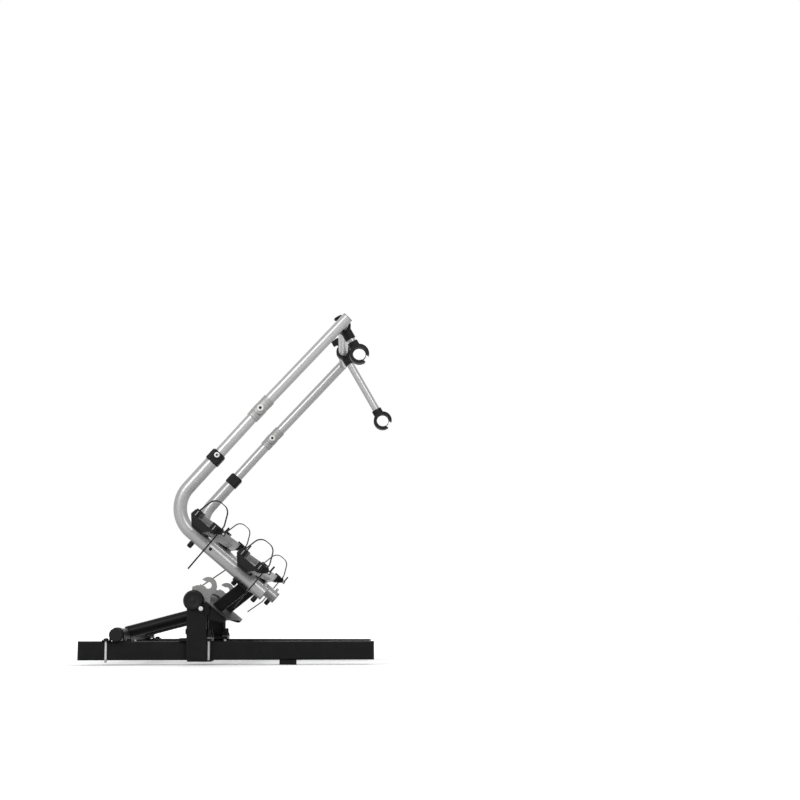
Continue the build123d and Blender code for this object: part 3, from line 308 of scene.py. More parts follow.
finish_of = {
    "drawbar_rail_left": black_coat, "drawbar_rail_right": black_coat, "frame_end_plugs": cap_plastic,
    "cross_member": black_coat, "rear_cross_tube": black_coat, "rear_tube_saddles": black_coat,
    "u_bolts": zinc, "u_bolt_plates": black_coat,
    "clamp_plates": black_coat, "clamp_bolts": zinc, "clamp_nuts": black_plastic,
    "post_side_bolts": black_coat,
    "posts": black_coat, "pivot_plates": black_coat, "braces": black_coat, "hinge_tube": black_coat,
    "hinge_tube_caps": cap_plastic, "hinge_washers": black_plastic,
    "lock_pin_left": zinc, "lock_pin_right": zinc,
    "tilt_brackets": black_coat, "tilt_plate": black_coat, "hook_plates": hook_zinc, "tilt_posts": black_coat,
    "tilt_top_plate": black_coat, "side_tube_left": side_metal, "side_tube_right": side_metal,
    "side_tube_plugs": grey_plastic,
    "rail_bolts": zinc, "rail_pads": black_plastic, "rail_knobs": black_plastic,
    "wheel_rail_front": rail_metal, "wheel_rail_rear": rail_metal, "wheel_rail_trims": black_plastic,
    "wheel_holders_front": black_plastic, "wheel_holders_rear": black_plastic,
    "wheel_straps_front": strap_plastic, "wheel_straps_rear": strap_plastic, "strap_buckles": black_plastic,
    "telescope_collars": black_plastic, "collar_screws": zinc, "inner_tubes": hoop_metal,
    "lower_knuckles": cast_metal, "knuckle_pins": zinc,
    "upper_tubes": hoop_metal, "upper_knuckles": cast_metal,
    "top_crossbar": hoop_metal, "hoop_top_plugs": grey_plastic,
}
for arm in ("short", "long"):
    finish_of[f"arm_clamp_{arm}"] = black_plastic
    finish_of[f"arm_tube_{arm}"] = hoop_metal
    finish_of[f"arm_jaw_{arm}"] = black_plastic
    finish_of[f"arm_knob_{arm}"] = knob_rubber
for node in frame["nodes"]:
    if node.startswith("buckle_lever"):
        finish_of[node] = black_plastic
for name, node in frame["nodes"].items():
    node.data.materials.clear()
    node.data.materials.append(finish_of[name])


# Places and meshes

MERGE_WITHIN = 0.000002
BEVEL_FROM = math.radians(28)
SHARP_FROM = math.radians(34)
ARC_STEPS = 8


def level(u, y, w):
    """A place in the platform's own level frame round the hinge, in millimetres, tilted as at rest."""
    return LEVEL @ Vector((u * MM, y * MM, w * MM))


def fixed(x, y, z):
    """A place in the rack's frame, given in millimetres."""
    return Vector((x * MM, y * MM, z * MM))


def own_mesh(source):
    """The evaluated mesh of an object, as a plain mesh with its place in its vertices."""
    graph = bpy.context.evaluated_depsgraph_get()
    mesh = bpy.data.meshes.new_from_object(source.evaluated_get(graph), depsgraph=graph)
    mesh.transform(source.matrix_world)
    return mesh


def finish_piece(name, bm, material, body, stands_for=(), bevel=0.0):
    """Cleans a mesh, bevels its edges by some millimetres where asked, and lets it ride on its body."""
    bmesh.ops.remove_doubles(bm, verts=bm.verts, dist=MERGE_WITHIN)
    bmesh.ops.recalc_face_normals(bm, faces=bm.faces)
    mesh = bpy.data.meshes.new(name)
    bm.to_mesh(mesh)
    bm.free()
    piece = bpy.data.objects.new(name, mesh)
    bpy.context.scene.collection.objects.link(piece)
    if bevel:
        soften = piece.modifiers.new("soften", "BEVEL")
        soften.width = bevel * MM
        soften.segments = 2
        soften.limit_method = "ANGLE"
        soften.angle_limit = BEVEL_FROM
        soften.use_clamp_overlap = True
        softened = own_mesh(piece)
        piece.modifiers.clear()
        piece.data = softened
    piece.data.materials.clear()
    piece.data.materials.append(material)
    piece.data.shade_smooth()
    piece.data.set_sharp_from_angle(angle=SHARP_FROM)
    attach(piece, body)
    if stands_for:
        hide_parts(*stands_for)


def add_ring_strip(bm, rings):
    """Skins a row of rings of equally many points, and caps its two ends."""
    made = [[bm.verts.new(point) for point in ring] for ring in rings]
    count = len(made[0])
    for first, second in zip(made, made[1:]):
        for i in range(count):
            j = (i + 1) % count
            bm.faces.new((first[i], first[j], second[j], second[i]))
    bm.faces.new(list(reversed(made[0])))
    bm.faces.new(made[-1])


def add_turned(bm, profile, place, sides=48):
    """A turned shape: (radius, height) points in millimetres, spun round the Z axis of a place."""
    rings = []
    for radius, height in profile:
        ring = []
        for i in range(sides):
            turn = 2 * math.pi * i / sides
            spot = Vector((radius * MM * math.cos(turn), radius * MM * math.sin(turn), height * MM))
            ring.append(place @ spot)
        rings.append(ring)
    add_ring_strip(bm, rings)


def lobed_ring(radius, sides, lobes, depth, power=1):
    """The (x, y) points of a ring that is pressed in at evenly spaced grooves; depth is a share."""
    points = []
    for i in range(sides):
        turn = 2 * math.pi * i / sides
        pressed = radius * (1 - depth * max(0.0, math.cos(lobes * turn)) ** power)
        points.append((pressed * math.cos(turn), pressed * math.sin(turn)))
    return points


def facing(point, direction):
    """A place at a point whose Z axis looks along a direction, which isn't upright."""
    out = Vector(direction).normalized()
    side = Vector((0, 0, 1)).cross(out).normalized()
    up = out.cross(side)
    turn = Matrix((side, up, out)).transposed().to_4x4()
    return Matrix.Translation(point) @ turn


def rounded(points, radius, steps):
    """A closed outline with its corners rounded."""
    result = []
    for i, point in enumerate(points):
        corner = Vector(point)
        before = Vector(points[i - 1]) - corner
        after = Vector(points[(i + 1) % len(points)]) - corner
        reach = min(radius, before.length * 0.48, after.length * 0.48)
        start = corner + before.normalized() * reach
        end = corner + after.normalized() * reach
        for step in range(steps + 1):
            t = step / steps
            result.append((start * (1 - t) ** 2 + corner * 2 * t * (1 - t) + end * t ** 2)[:])
    return result


def arc_path(points, radius):
    """An open path in a plane with its inner corners turned on true arcs."""
    result = [Vector(points[0])]
    for before, corner, after in zip(points, points[1:], points[2:]):
        corner = Vector(corner)
        back = (Vector(before) - corner).normalized()
        on = (Vector(after) - corner).normalized()
        half = back.angle(on) / 2
        middle = corner + (back + on).normalized() * (radius / math.sin(half))
        start = corner + back * (radius / math.tan(half)) - middle
        end = corner + on * (radius / math.tan(half)) - middle
        for step in range(ARC_STEPS + 1):
            share = step / ARC_STEPS
            spoke = (start * (1 - share) + end * share).normalized() * radius
            result.append(middle + spoke)
    result.append(Vector(points[-1]))
    return result


def shifted(points, distance):
    """A path in a plane moved sideways, to the left of its own direction."""
    result = []
    for i, point in enumerate(points):
        along = (points[min(i + 1, len(points) - 1)] - points[max(i - 1, 0)]).normalized()
        result.append(point + Vector((-along.y, along.x)) * distance)
    return result


# Things that repeat

class Growth:
    """A Geometry Nodes tree with named sizes, which ends in Realize Instances and Set Material."""

    def __init__(self, name, sizes):
        self.tree = bpy.data.node_groups.new(name, "GeometryNodeTree")
        face = self.tree.interface
        face.new_socket("Path", in_out="INPUT", socket_type="NodeSocketGeometry")
        self.keys = {}
        for label, value in sizes.items():
            socket = face.new_socket(label, in_out="INPUT", socket_type="NodeSocketFloat")
            socket.default_value = value
            self.keys[label] = socket.identifier
        face.new_socket("Geometry", in_out="OUTPUT", socket_type="NodeSocketGeometry")
        self.given = self.tree.nodes.new("NodeGroupInput")
        self.result = self.tree.nodes.new("NodeGroupOutput")

    def size(self, label):
        return self.given.outputs[label]

    def node(self, kind, settings, values, output=0):
        """Any node: its settings first, then its sockets' values or links. Returns one output."""
        made = self.tree.nodes.new(kind)
        for name, value in settings.items():
            setattr(made, name, value)
        for name, value in values.items():
            if isinstance(value, bpy.types.NodeSocket):
                self.tree.links.new(value, made.inputs[name])
            else:
                made.inputs[name].default_value = value
        return made.outputs[output]

    def row(self, pitch, axes):
        """Points at a steady pitch along the paths, and the turn that lines a copy up with them."""
        line = self.node("GeometryNodeMeshToCurve", {}, {"Mesh": self.given.outputs["Path"]})
        spots = self.node("GeometryNodeResampleCurve", {"mode": "LENGTH"}, {
            "Curve": line, "Length": self.size(pitch)})
        along = self.node("GeometryNodeInputTangent", {}, {})
        turn = self.node("FunctionNodeAlignRotationToVector", axes, {"Vector": along})
        return spots, turn

    def close(self, instances):
        """Ends the tree: plain geometry, smooth, with its material."""
        solid = self.node("GeometryNodeRealizeInstances", {}, {"Geometry": instances})
        smooth = self.node("GeometryNodeSetShadeSmooth", {}, {"Geometry": solid})
        self.painted = self.tree.nodes.new("GeometryNodeSetMaterial")
        self.tree.links.new(smooth, self.painted.inputs["Geometry"])
        self.tree.links.new(self.painted.outputs[0], self.result.inputs[0])
        return self

    def grow(self, paths, name, material, body, slot, sizes):
        """Runs the tree on paths, each a list of points and whether it closes, as a piece on a body."""
        bm = bmesh.new()
        for points, closed in paths:
            made = [bm.verts.new(point) for point in points]
            for first, second in zip(made, made[1:] + (made[:1] if closed else [])):
                if first is not second:
                    bm.edges.new((first, second))
        mesh = bpy.data.meshes.new(name + "_path")
        bm.to_mesh(mesh)
        bm.free()
        source = bpy.data.objects.new(name + "_path", mesh)
        bpy.context.scene.collection.objects.link(source)
        self.painted.inputs["Material"].default_value = material
        modifier = source.modifiers.new("grow", "NODES")
        modifier.node_group = self.tree
        for label, value in sizes.items():
            modifier[self.keys[label]] = float(value)
        grown = own_mesh(source)
        grown.name = name
        bpy.data.objects.remove(source)
        piece = bpy.data.objects.new(name, grown)
        bpy.context.scene.collection.objects.link(piece)
        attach(piece, body)


def grow_beads():
    """Weld beads: flattened drops laid one on the next along a seam."""
    tree = Growth("weld_bead", {"Bead Radius": 0.0018, "Bead Pitch": 0.0016, "Seed": 3.0})
    spots, turn = tree.row("Bead Pitch", {"axis": "Z"})
    drop = tree.node("GeometryNodeMeshUVSphere", {}, {
        "Segments": 8, "Rings": 6, "Radius": tree.size("Bead Radius")})
    seed = tree.node("FunctionNodeFloatToInt", {}, {0: tree.size("Seed")})
    jitter = tree.node("FunctionNodeRandomValue", {"data_type": "FLOAT"}, {2: 0.86, 3: 1.12, "Seed": seed}, 1)
    thin = tree.node("ShaderNodeCombineXYZ", {}, {0: jitter, 1: jitter, 2: 0.75})
    drops = tree.node("GeometryNodeInstanceOnPoints", {}, {
        "Points": spots, "Instance": drop, "Rotation": turn, "Scale": thin})
    return tree.close(drops)


def grow_threads():
    """Thread crests: thin rings at the thread's pitch along a stud."""
    tree = Growth("thread_crests", {"Thread Radius": 0.004, "Thread Pitch": 0.00125, "Crest": 0.00032})
    spots, turn = tree.row("Thread Pitch", {"axis": "Z"})
    crest = tree.node("GeometryNodeCurvePrimitiveCircle", {}, {
        "Resolution": 20, "Radius": tree.size("Thread Radius")})
    section = tree.node("GeometryNodeCurvePrimitiveCircle", {}, {
        "Resolution": 4, "Radius": tree.size("Crest")})
    ring = tree.node("GeometryNodeCurveToMesh", {}, {"Curve": crest, "Profile Curve": section})
    rings = tree.node("GeometryNodeInstanceOnPoints", {}, {
        "Points": spots, "Instance": ring, "Rotation": turn})
    return tree.close(rings)


def grow_teeth():
    """Cross bars at a steady pitch along a path: a strap's ratchet teeth, or ribs across a pad."""
    tree = Growth("cross_bars", {
        "Bar Pitch": 0.004, "Bar Thick": 0.0018, "Bar Width": 0.012, "Bar Height": 0.0016})
    spots, turn = tree.row("Bar Pitch", {"axis": "X", "pivot_axis": "Y"})
    size = tree.node("ShaderNodeCombineXYZ", {}, {
        0: tree.size("Bar Thick"), 1: tree.size("Bar Width"), 2: tree.size("Bar Height")})
    bar = tree.node("GeometryNodeMeshCube", {}, {"Size": size})
    bars = tree.node("GeometryNodeInstanceOnPoints", {}, {
        "Points": spots, "Instance": bar, "Rotation": turn})
    return tree.close(bars)


# Welds

SEAM_POINTS = 28


def brace_seam(tube, tube_radius, y):
    """The seam of a sloping brace on a tube along Y, given the tube's X and Z; what misses is left out."""
    origin = Vector((BRACE_START[0], 0, BRACE_START[1]))
    along = (Vector((BRACE_END[0], 0, BRACE_END[1])) - origin).normalized()
    across = Vector((0, 1, 0))
    up = along.cross(across)
    centre = Vector((tube[0], 0, tube[1]))
    ahead = (centre - origin).dot(along) > tube_radius
    ring = []
    for i in range(SEAM_POINTS):
        turn = 2 * math.pi * i / SEAM_POINTS
        foot = origin + across * (BRACE_R * math.cos(turn)) + up * (BRACE_R * math.sin(turn))
        flat = Vector((foot.x - centre.x, 0, foot.z - centre.z))
        half = flat.dot(along)
        depth = half * half - flat.dot(flat) + tube_radius ** 2
        if depth < 0:
            continue
        reach = math.sqrt(depth)
        spot = foot + along * (-half - reach if ahead else -half + reach)
        ring.append(fixed(spot.x, y + foot.y, spot.z))
    return ring


def build_welds():
    """Bead seams at the braces' ends, the posts' feet, the tilt posts and the cheeks."""
    beads = grow_beads()
    hinge_place = (HINGE.x / MM, HINGE.z / MM)
    braces = []
    for side in SIDES:
        y = side * BRACE_Y
        braces.append((brace_seam(REAR_TUBE, REAR_TUBE_R, y), True))
        braces.append((brace_seam(hinge_place, HINGE_R, y), False))
    beads.grow(braces, "brace_welds", black_coat, "drawbar_frame", "black_steel", {"Bead Radius": 0.0022})
    foot = ((POST_X[0], POST_Y[0]), (POST_X[1], POST_Y[0]), (POST_X[1], POST_Y[1]), (POST_X[0], POST_Y[1]))
    posts = [([fixed(x, side * y, FOOT_TOP) for x, y in foot], True) for side in SIDES]
    beads.grow(posts, "post_welds", black_coat, "drawbar_frame", "black_steel", {"Bead Radius": 0.002})
    square = ((-1, -1), (1, -1), (1, 1), (-1, 1))
    reach = TILT_POST_HALF / math.cos(TILT_POST_LEAN)
    seams = []
    for side in SIDES:
        for height in (FLANGE[1], TOP_PLATE_Z):
            middle = TILT_POST_FOOT + (height - FLANGE[1]) * math.tan(TILT_POST_LEAN)
            corners = [(middle + a * reach, side * TILT_POST_Y + b * TILT_POST_HALF) for a, b in square]
            seams.append(([level(u, y, height) for u, y in corners], True))
        for y in CHEEKS_Y:
            seams.append(([level(u, side * y, FLANGE[0]) for u in CHEEK_SEAM_U], False))
    beads.grow(seams, "tilt_frame_welds", black_coat, "tilting_platform", "black_steel", {
        "Bead Radius": 0.0017})


# Studs, nuts and caps

def build_threads():
    """Threads on the long clamp bolts, below the bars' tops."""
    threads = grow_threads()
    studs = []
    for side in SIDES:
        for y in CLAMP_BOLT_Y:
            studs.append(([fixed(CLAMP_BOLT_X, side * y, z) for z in THREAD_Z], False))
    threads.grow(studs, "clamp_bolt_threads", zinc, "drawbar_frame", "zinc", {"Thread Radius": 0.00402})


def build_washers():
    """Thin washers under the clamp nuts."""
    bm = bmesh.new()
    profile = ((4.2, 0), (8.2, 0), (8.5, 0.3), (8.5, 1.1), (8.2, 1.4), (4.2, 1.4))
    for side in SIDES:
        for y in CLAMP_BOLT_Y:
            add_turned(bm, profile, Matrix.Translation(fixed(CLAMP_BOLT_X, side * y, FOOT_TOP + 0.05)), 36)
    finish_piece("clamp_washers", bm, zinc, "drawbar_frame")


def build_nut_caps():
    """Black plastic caps over the clamp nuts and the studs' ends."""
    bm = bmesh.new()
    profile = ((4.3, 1.5), (9.4, 1.5), (9.6, 2.0), (9.6, 3.2), (8.0, 3.8), (7.9, 9.5), (5.6, 11.6),
               (5.2, 22.6), (4.2, 23.9), (0, 24.2))
    for side in SIDES:
        for y in CLAMP_BOLT_Y:
            add_turned(bm, profile, Matrix.Translation(fixed(CLAMP_BOLT_X, side * y, FOOT_TOP)), 40)
    finish_piece("clamp_nut_caps", bm, black_plastic, "drawbar_frame")


def build_hinge_discs():
    """Grey dished insert and dark rim on each end of the hinge tube."""
    disc = ((0, 0), (18.6, 0), (19.2, 0.3), (19.2, 0.9), (17.8, 1.2), (16.5, 0.7), (5, 0.55), (3.6, 1.1),
            (0, 1.2))
    rim = ((19.5, -3.5), (23.9, -3.5), (24.1, -1.6), (23.2, 0.9), (21.6, 1.3), (19.9, 0.9), (19.5, 0))
    inserts = bmesh.new()
    rims = bmesh.new()
    for side in SIDES:
        place = facing(Vector((HINGE.x, side * HINGE_END_Y * MM, HINGE.z)), (0, side, 0))
        add_turned(inserts, disc, place, 56)
        add_turned(rims, rim, place, 56)
    finish_piece("hinge_cap_inserts", inserts, cap_grey, "drawbar_frame")
    finish_piece("hinge_cap_rims", rims, black_plastic, "drawbar_frame")


def build_rail_knobs():
    """Fluted black cap nuts under the side tubes."""
    profile = ((3.2, 0), (5.4, 0.5), (6.6, 2.0), (7.0, 4.4), (7.0, 15.2), (6.5, 16.4), (4.2, 17.0))
    bm = bmesh.new()
    for side in SIDES:
        for u, top in KNOBS:
            share = (top - KNOB_LOW) / profile[-1][1]
            rings = []
            for radius, height in profile:
                ring = lobed_ring(radius, 48, 8, 0.07 if radius > 6 else 0)
                rings.append([level(u + x, side * SIDE_Y + y, KNOB_LOW + height * share) for x, y in ring])
            add_ring_strip(bm, rings)
    finish_piece("fluted_rail_knobs", bm, black_plastic, "tilting_platform", ("rail_knobs",))


# Hoop details

def upright_place(side, distance):
    """The frame of an upright, at a distance from the tube's corner, with Z along the upright."""
    corner = Matrix.Translation(Vector((BEND_X, side * SIDE_Y, SIDE_Z)) * MM)
    lean = Matrix.Rotation(HOOP_LEAN, 4, "Y")
    return LEVEL @ corner @ lean @ Matrix.Translation((0, 0, distance * MM))


def top_place(side, distance):
    """The frame of an upper tube, at a distance from the fold pin."""
    lean = Matrix.Rotation(TOP_LEAN - HOOP_LEAN, 4, "Y")
    return upright_place(side, KNUCKLE_AT) @ lean @ Matrix.Translation((0, 0, distance * MM))


def outward(place, side, y):
    """A place at a distance out on one side of a tube's frame, facing away from the tube."""
    out = (place.to_3x3() @ Vector((0, side, 0))).normalized()
    return facing(place @ Vector((0, side * y * MM, 0)), out)


def ring_profile(inner, outer, length):
    """The section of a ring with softened outer corners, as (radius, height) points."""
    soft = min(0.5, length / 4)
    return ((inner, 0), (outer - soft, 0), (outer, soft),
            (outer, length - soft), (outer - soft, length), (inner, length))


def socket_shade_profile(radius):
    """The section of a thin dark face, painted shade that stands in for the hollow of a socket; with six
    sides it shows as a hexagon socket.
    """
    return ((0, 0), (radius, 0), (radius, 0.25), (0, 0.2))


def build_hoop_rings():
    """Turned lips on the telescope collars, and rings round the knuckles' sleeves."""
    low_lip = ring_profile(SIDE_R - 0.3, 20.6, 3)
    high_lip = ring_profile(14.9, 18.6, 3.4)
    sleeve_ring = ring_profile(KNUCKLE_R - 0.6, KNUCKLE_R + 0.55, 2.2)
    collars = bmesh.new()
    lower = bmesh.new()
    upper = bmesh.new()
    for side in SIDES:
        add_turned(collars, low_lip, upright_place(side, COLLAR_AT - COLLAR_LENGTH / 2 - 2.4))
        add_turned(collars, high_lip, upright_place(side, COLLAR_AT + COLLAR_LENGTH / 2 - 0.4))
        for start in LOWER_RINGS_AT:
            add_turned(lower, sleeve_ring, upright_place(side, KNUCKLE_AT + start))
        for start in UPPER_RINGS_AT:
            add_turned(upper, sleeve_ring, top_place(side, start))
    finish_piece("collar_lips", collars, black_plastic, "tilting_platform")
    finish_piece("lower_sleeve_rings", lower, cast_metal, "hoop_lower")
    finish_piece("upper_sleeve_rings", upper, cast_metal, "hoop_upper")


def build_pin_faces():
    """Washers and painted socket shade on the fold pins, and dark rings and painted socket shade on the
    collar screws.
    """
    washers = bmesh.new()
    # sockets and the screw sockets hold flat black hexagons: painted shade for the sockets' hollows
    sockets = bmesh.new()
    screw_socket_shades = bmesh.new()
    dark = bmesh.new()
    for side in SIDES:
        knuckle = upright_place(side, KNUCKLE_AT)
        for face in SIDES:
            add_turned(washers, ring_profile(8.2, 9.6, 1.2), outward(knuckle, face, PIN_SEAT_Y), 40)
            # a flat black hexagon on each pin face: painted shade for the hollow of the pin's socket
            add_turned(sockets, socket_shade_profile(4.3), outward(knuckle, face, PIN_HEAD_Y), 6)
        screw = upright_place(side, COLLAR_AT + COLLAR_LENGTH / 4)
        add_turned(dark, ring_profile(7.7, 9.3, 1.4), outward(screw, side, SCREW_SEAT_Y), 40)
        # a flat black hexagon on the screw's head: painted shade for the hollow of its socket
        add_turned(screw_socket_shades, socket_shade_profile(3.4), outward(screw, side, SCREW_HEAD_Y), 6)
    finish_piece("fold_pin_washers", washers, zinc, "hoop_lower")
    finish_piece("screw_dark_rings", dark, black_plastic, "tilting_platform")
    finish_piece("fold_pin_socket_shades", sockets, cap_plastic, "hoop_lower")
    finish_piece("collar_screw_socket_shades", screw_socket_shades, cap_plastic, "tilting_platform")


def build_rivets():
    """Dark blind rivets on the side tubes' outer faces."""
    dome = ((0, -0.6), (4.2, -0.6), (4.6, -0.2), (4.2, 0.5), (2.8, 1.2), (1.4, 1.5), (1.2, 1.0), (0, 0.9))
    bm = bmesh.new()
    for side in SIDES:
        spot = level(RIVET_U, side * (SIDE_Y + SIDE_R - RIVET_SUNK), SIDE_Z - RIVET_DROP)
        add_turned(bm, dome, facing(spot, (0, side, 0)), 24)
    finish_piece("side_tube_rivets", bm, cap_plastic, "tilting_platform")


# Wheel holders, straps and levers

HOLDER_SKIN = ((-38.2, 34), (-40.9, 17.3), (-17, -8.2), (13.4, -8.2),
               (13.4, -5), (-15.5, -5), (-37.5, 18.5), (-35, 34))
HOLDER_RIB = 3
HOLDER_RIBS_Y = (HOLDER_Y[0] + 0.5, 528, 563, HOLDER_Y[1] - 3.5)
LIP_X = (-27.5, 27.5)
LIP_HALF = 9.4
LIP_Z = (35.7, 38.2)
LIP_GAP = 11
TREAD_X = (-14.6, 14.6)
TREAD_Z = 15.6
STRAP_OVER = ((-33, 36.4), (-22, 88), (22, 88), (42.5, 46), (42.5, 43))
STRAP_X = 42.5
STRAP_BEND = 24
STRAP_SKIN = 1.35
TOOTHED_FROM = 12
LEVER_X = 56.4
LEVER_Z = (36, 50)
LEVER_PIN = (54.5, 30)
LEVER_PIN_Y = 13.9
# How far each strap's tail swings back, and how low it ends
TAILS = {("rear", 1): (23.5, 143), ("front", 1): (14.5, 114), ("rear", -1): (0, 96), ("front", -1): (0, 96)}


def on_rail(rail, x, y, z):
    """A place in the platform's level frame, measured from a rail's middle."""
    return level(RAILS[rail] + x, y, RAIL_Z + z)


def add_slab(bm, outline, y0, y1, rail, side):
    """A flat outline in X and Z over a rail, with a thickness along Y on one side of the rack."""
    add_ring_strip(bm, [[on_rail(rail, x, side * y, z) for x, z in outline] for y in (y0, y1)])


def build_holder_ribs():
    """Moulded ribs round each holder's back and belly, and a rolled lip along its rims."""
    for rail in RAILS:
        bm = bmesh.new()
        for side in SIDES:
            for y in HOLDER_RIBS_Y:
                add_slab(bm, HOLDER_SKIN, y, y + HOLDER_RIB, rail, side)
            for x in LIP_X:
                lip = rounded(((x - LIP_HALF, LIP_Z[0]), (x + LIP_HALF, LIP_Z[0]),
                               (x + LIP_HALF, LIP_Z[1]), (x - LIP_HALF, LIP_Z[1])), 1.2, 3)
                add_slab(bm, lip, HOLDER_Y[0] + 1, STRAP_Y - LIP_GAP, rail, side)
                add_slab(bm, lip, STRAP_Y + LIP_GAP, HOLDER_Y[1] - 1, rail, side)
        finish_piece(f"holder_ribs_{rail}", bm, black_plastic, "tilting_platform", bevel=0.5)


def build_holder_pads():
    """Rubber cross bars in each holder's trough, where the tyre sits."""
    bars = grow_teeth()
    for rail in RAILS:
        paths = []
        for side in SIDES:
            for x in TREAD_X:
                ends = (HOLDER_Y[0] + 4, HOLDER_Y[1] - 4)
                paths.append(([on_rail(rail, x, side * y, TREAD_Z) for y in ends], False))
        bars.grow(paths, f"holder_tread_{rail}", knob_rubber, "tilting_platform", "black_plastic", {
            "Bar Pitch": 0.0055, "Bar Thick": 0.0022, "Bar Width": 0.008, "Bar Height": 0.0026})


def strap_tail(swing, low):
    """The line of a strap's tail: bent where it swings back, else straight down."""
    if swing:
        return arc_path(((STRAP_X, 10), (STRAP_X, -60), (STRAP_X - swing, -low)), STRAP_BEND)
    return [Vector((STRAP_X, z)) for z in (10, -40, -low)]


def build_strap_teeth():
    """Ratchet teeth across the outer face of each strap, over the wheel and down its tail."""
    teeth = grow_teeth()
    for rail in RAILS:
        paths = []
        for side in SIDES:
            over = shifted(arc_path(STRAP_OVER, STRAP_BEND), STRAP_SKIN)
            down = shifted(strap_tail(*TAILS[rail, side]), STRAP_SKIN)
            for line in (over[TOOTHED_FROM:], down):
                paths.append(([on_rail(rail, p.x, side * STRAP_Y, p.y) for p in line], False))
        teeth.grow(paths, f"strap_teeth_{rail}", strap_plastic, "tilting_platform", "strap_plastic", {
            "Bar Pitch": 0.0034, "Bar Thick": 0.0016, "Bar Width": 0.013, "Bar Height": 0.0011})


def build_lever_grips():
    """Grip ribs on each buckle lever, and the steel pin's heads in its ears."""
    head = ((0, -0.4), (2.6, -0.4), (2.9, 0), (2.6, 0.7), (0, 0.9))
    bars = grow_teeth()
    pins = bmesh.new()
    for rail in RAILS:
        for side, side_name in ((1, "left"), (-1, "right")):
            body = f"buckle_lever_{rail}_{side_name}"
            line = [on_rail(rail, LEVER_X, side * STRAP_Y, z) for z in LEVER_Z]
            name = f"lever_grip_{rail}_{side_name}"
            bars.grow([(line, False)], name, black_plastic, body, "black_plastic", {
                "Bar Pitch": 0.0028, "Bar Thick": 0.0014, "Bar Width": 0.018, "Bar Height": 0.0012})
            for end in SIDES:
                spot = on_rail(rail, LEVER_PIN[0], side * STRAP_Y + end * LEVER_PIN_Y, LEVER_PIN[1])
                add_turned(pins, head, facing(spot, (0, end, 0)), 20)
    finish_piece("lever_pin_heads", pins, zinc, "tilting_platform")


# Bike arms

def arm_place(y):
    """The frame of a bike arm: origin on the crossbar's axis, X along the arm."""
    low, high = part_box("top_crossbar")
    middle = (Vector(low) + Vector(high)) / 2
    return Matrix.Translation((middle.x, y * MM, middle.z)) @ Matrix.Rotation(TILT + ARM_DROP, 4, "Y")


def build_low_knob():
    """Low star knob on the short arm, screwed up against its clamp, with a washer and a dished top."""
    washer = ((4.2, 21.1), (7.4, 21.1), (7.6, 21.4), (7.6, 22.3), (4.2, 22.5))
    profile = ((5.2, 22.4), (10.2, 22.9), (12.4, 24.4), (12.9, 27.2), (12.3, 29.6), (9.6, 30.8),
               (6, 31.2), (5.2, 30.2), (0, 30.0))
    back = arm_place(ARMS["short"]) @ Matrix.Rotation(-math.pi / 2, 4, "Y")
    bm = bmesh.new()
    add_turned(bm, washer, back, 32)
    rings = []
    for radius, height in profile:
        ring = lobed_ring(radius, 72, 6, 0.16 if radius > 8 else 0, 1.5)
        rings.append([back @ Vector((x * MM, y * MM, height * MM)) for x, y in ring])
    add_ring_strip(bm, rings)
    finish_piece("short_arm_low_knob", bm, knob_rubber, "short_arm", ("arm_knob_short",))


def build_jaw_pads():
    """Soft ribbed lining round the inside of each jaw; as built it also crosses the jaw's mouth."""
    pads = grow_teeth()
    for arm, y in ARMS.items():
        hand = arm_place(y) @ Matrix.Translation((ARM_LENGTHS[arm] * MM, 0, 0))
        lines = []
        for across in LINING_Y:
            line = []
            for step in range(LINING_POINTS):
                turn = math.radians(LINING_START - LINING_STEP * step)
                spot = Vector((JAW_HOLE_R * math.cos(turn), across, -JAW_HOLE_R * math.sin(turn)))
                line.append(hand @ (spot * MM))
            lines.append((line, False))
        pads.grow(lines, f"jaw_lining_{arm}", knob_rubber, f"{arm}_arm", "black_plastic", {
            "Bar Pitch": 0.0034, "Bar Thick": 0.0018, "Bar Width": 0.0075, "Bar Height": 0.0014})


build_welds()
build_threads()
build_washers()
build_nut_caps()
build_hinge_discs()
build_rail_knobs()
build_hoop_rings()
build_pin_faces()
build_rivets()
build_holder_ribs()
build_holder_pads()
build_strap_teeth()
build_lever_grips()
build_low_knob()
build_jaw_pads()


# Floor, light and camera

def seen_directly(tree):
    """1 where the camera, a mirror or clear glass sees the surface, 0 where it lights the rack."""
    path = tree.nodes.new("ShaderNodeLightPath")
    seen = path.outputs["Is Camera Ray"]
    for other in ("Is Glossy Ray", "Is Transmission Ray"):
        most = tree.nodes.new("ShaderNodeMath")
        most.operation = "MAXIMUM"
        tree.links.new(seen, most.inputs[0])
        tree.links.new(path.outputs[other], most.inputs[1])
        seen = most.outputs[0]
    return seen


def white_to_camera(tree, color, output):
    """Feeds a socket white where it is seen directly, and a colour where it gives light."""
    mix = tree.nodes.new("ShaderNodeMix")
    mix.data_type = "RGBA"
    tree.links.new(seen_directly(tree), mix.inputs[0])
    mix.inputs[6].default_value = color
    mix.inputs[7].default_value = (1, 1, 1, 1)
    tree.links.new(mix.outputs[2], output)


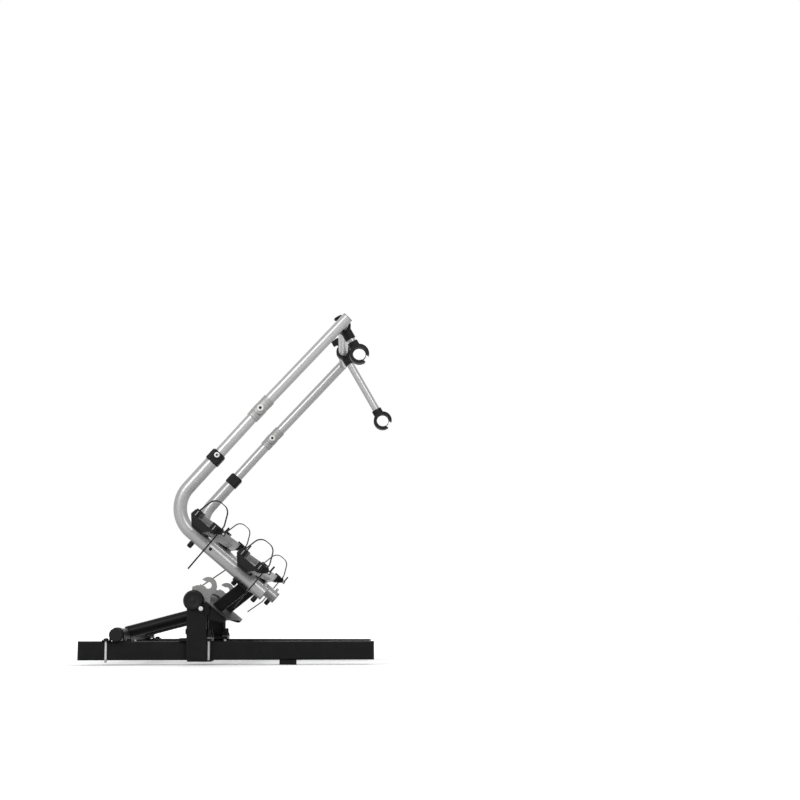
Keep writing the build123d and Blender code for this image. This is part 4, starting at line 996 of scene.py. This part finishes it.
def build_floor():
    """Pale floor that turns white towards the horizon and keeps the rack's shadow."""
    bpy.ops.mesh.primitive_plane_add(size=60, location=(0, 0, -0.0005))
    floor = bpy.context.object
    floor.name = "studio_floor"
    paint = Finish("pale_floor", (0.82, 0.82, 0.82), Roughness=0.9, Specular_IOR_Level=0.1)
    paint.shader.inputs["Emission Color"].default_value = (1, 1, 1, 1)
    far = paint.node("ShaderNodeVectorMath", {"operation": "LENGTH"}, {0: paint.place}, "Value")
    lift = paint.node("ShaderNodeMapRange", {}, {
        "Value": far, "From Min": 0.9, "From Max": 5.0, "To Min": 0.2, "To Max": 0.9})
    strength = lift * Shade(paint, seen_directly(paint.tree))
    paint.tree.links.new(strength.socket, paint.shader.inputs["Emission Strength"])
    floor.data.materials.append(paint.material)


def build_light():
    """Soft grey light all round, two lamps in front and a wide one behind."""
    world = bpy.data.worlds.new("studio")
    bpy.context.scene.world = world
    world.use_nodes = True
    background = world.node_tree.nodes["Background"]
    background.inputs["Strength"].default_value = 1.0
    white_to_camera(world.node_tree, WORLD_LIGHT, background.inputs["Color"])
    for name, place, size, power in (
            ("key_softbox", (-2.0, -3.85, 2.5), 1.5, 120),
            ("fill_softbox", (1.9, -3.9, 2.75), 1.5, 75),
            ("rim_softbox", (0.5, 3.2, 3.4), 2.6, 80)):
        light = bpy.data.lights.new(name, "AREA")
        light.shape = "SQUARE"
        light.size = size
        light.energy = power
        lamp = bpy.data.objects.new(name, light)
        bpy.context.scene.collection.objects.link(lamp)
        lamp.location = place
        lamp.rotation_euler = (Vector(LIGHT_AIM) - Vector(place)).to_track_quat("-Z", "Y").to_euler()


def build_camera():
    """The photograph's viewpoint: low, in front, and looking slightly up."""
    data = bpy.data.cameras.new("camera")
    data.lens = CAMERA_LENS
    data.sensor_width = 36
    camera = bpy.data.objects.new("camera", data)
    bpy.context.scene.collection.objects.link(camera)
    camera.location = CAMERA_PLACE
    camera.rotation_euler = (math.radians(90 + CAMERA_RISE), 0, math.radians(CAMERA_TURN))
    bpy.context.scene.camera = camera


build_floor()
build_light()
build_camera()
bpy.context.scene.view_settings.view_transform = "Standard"
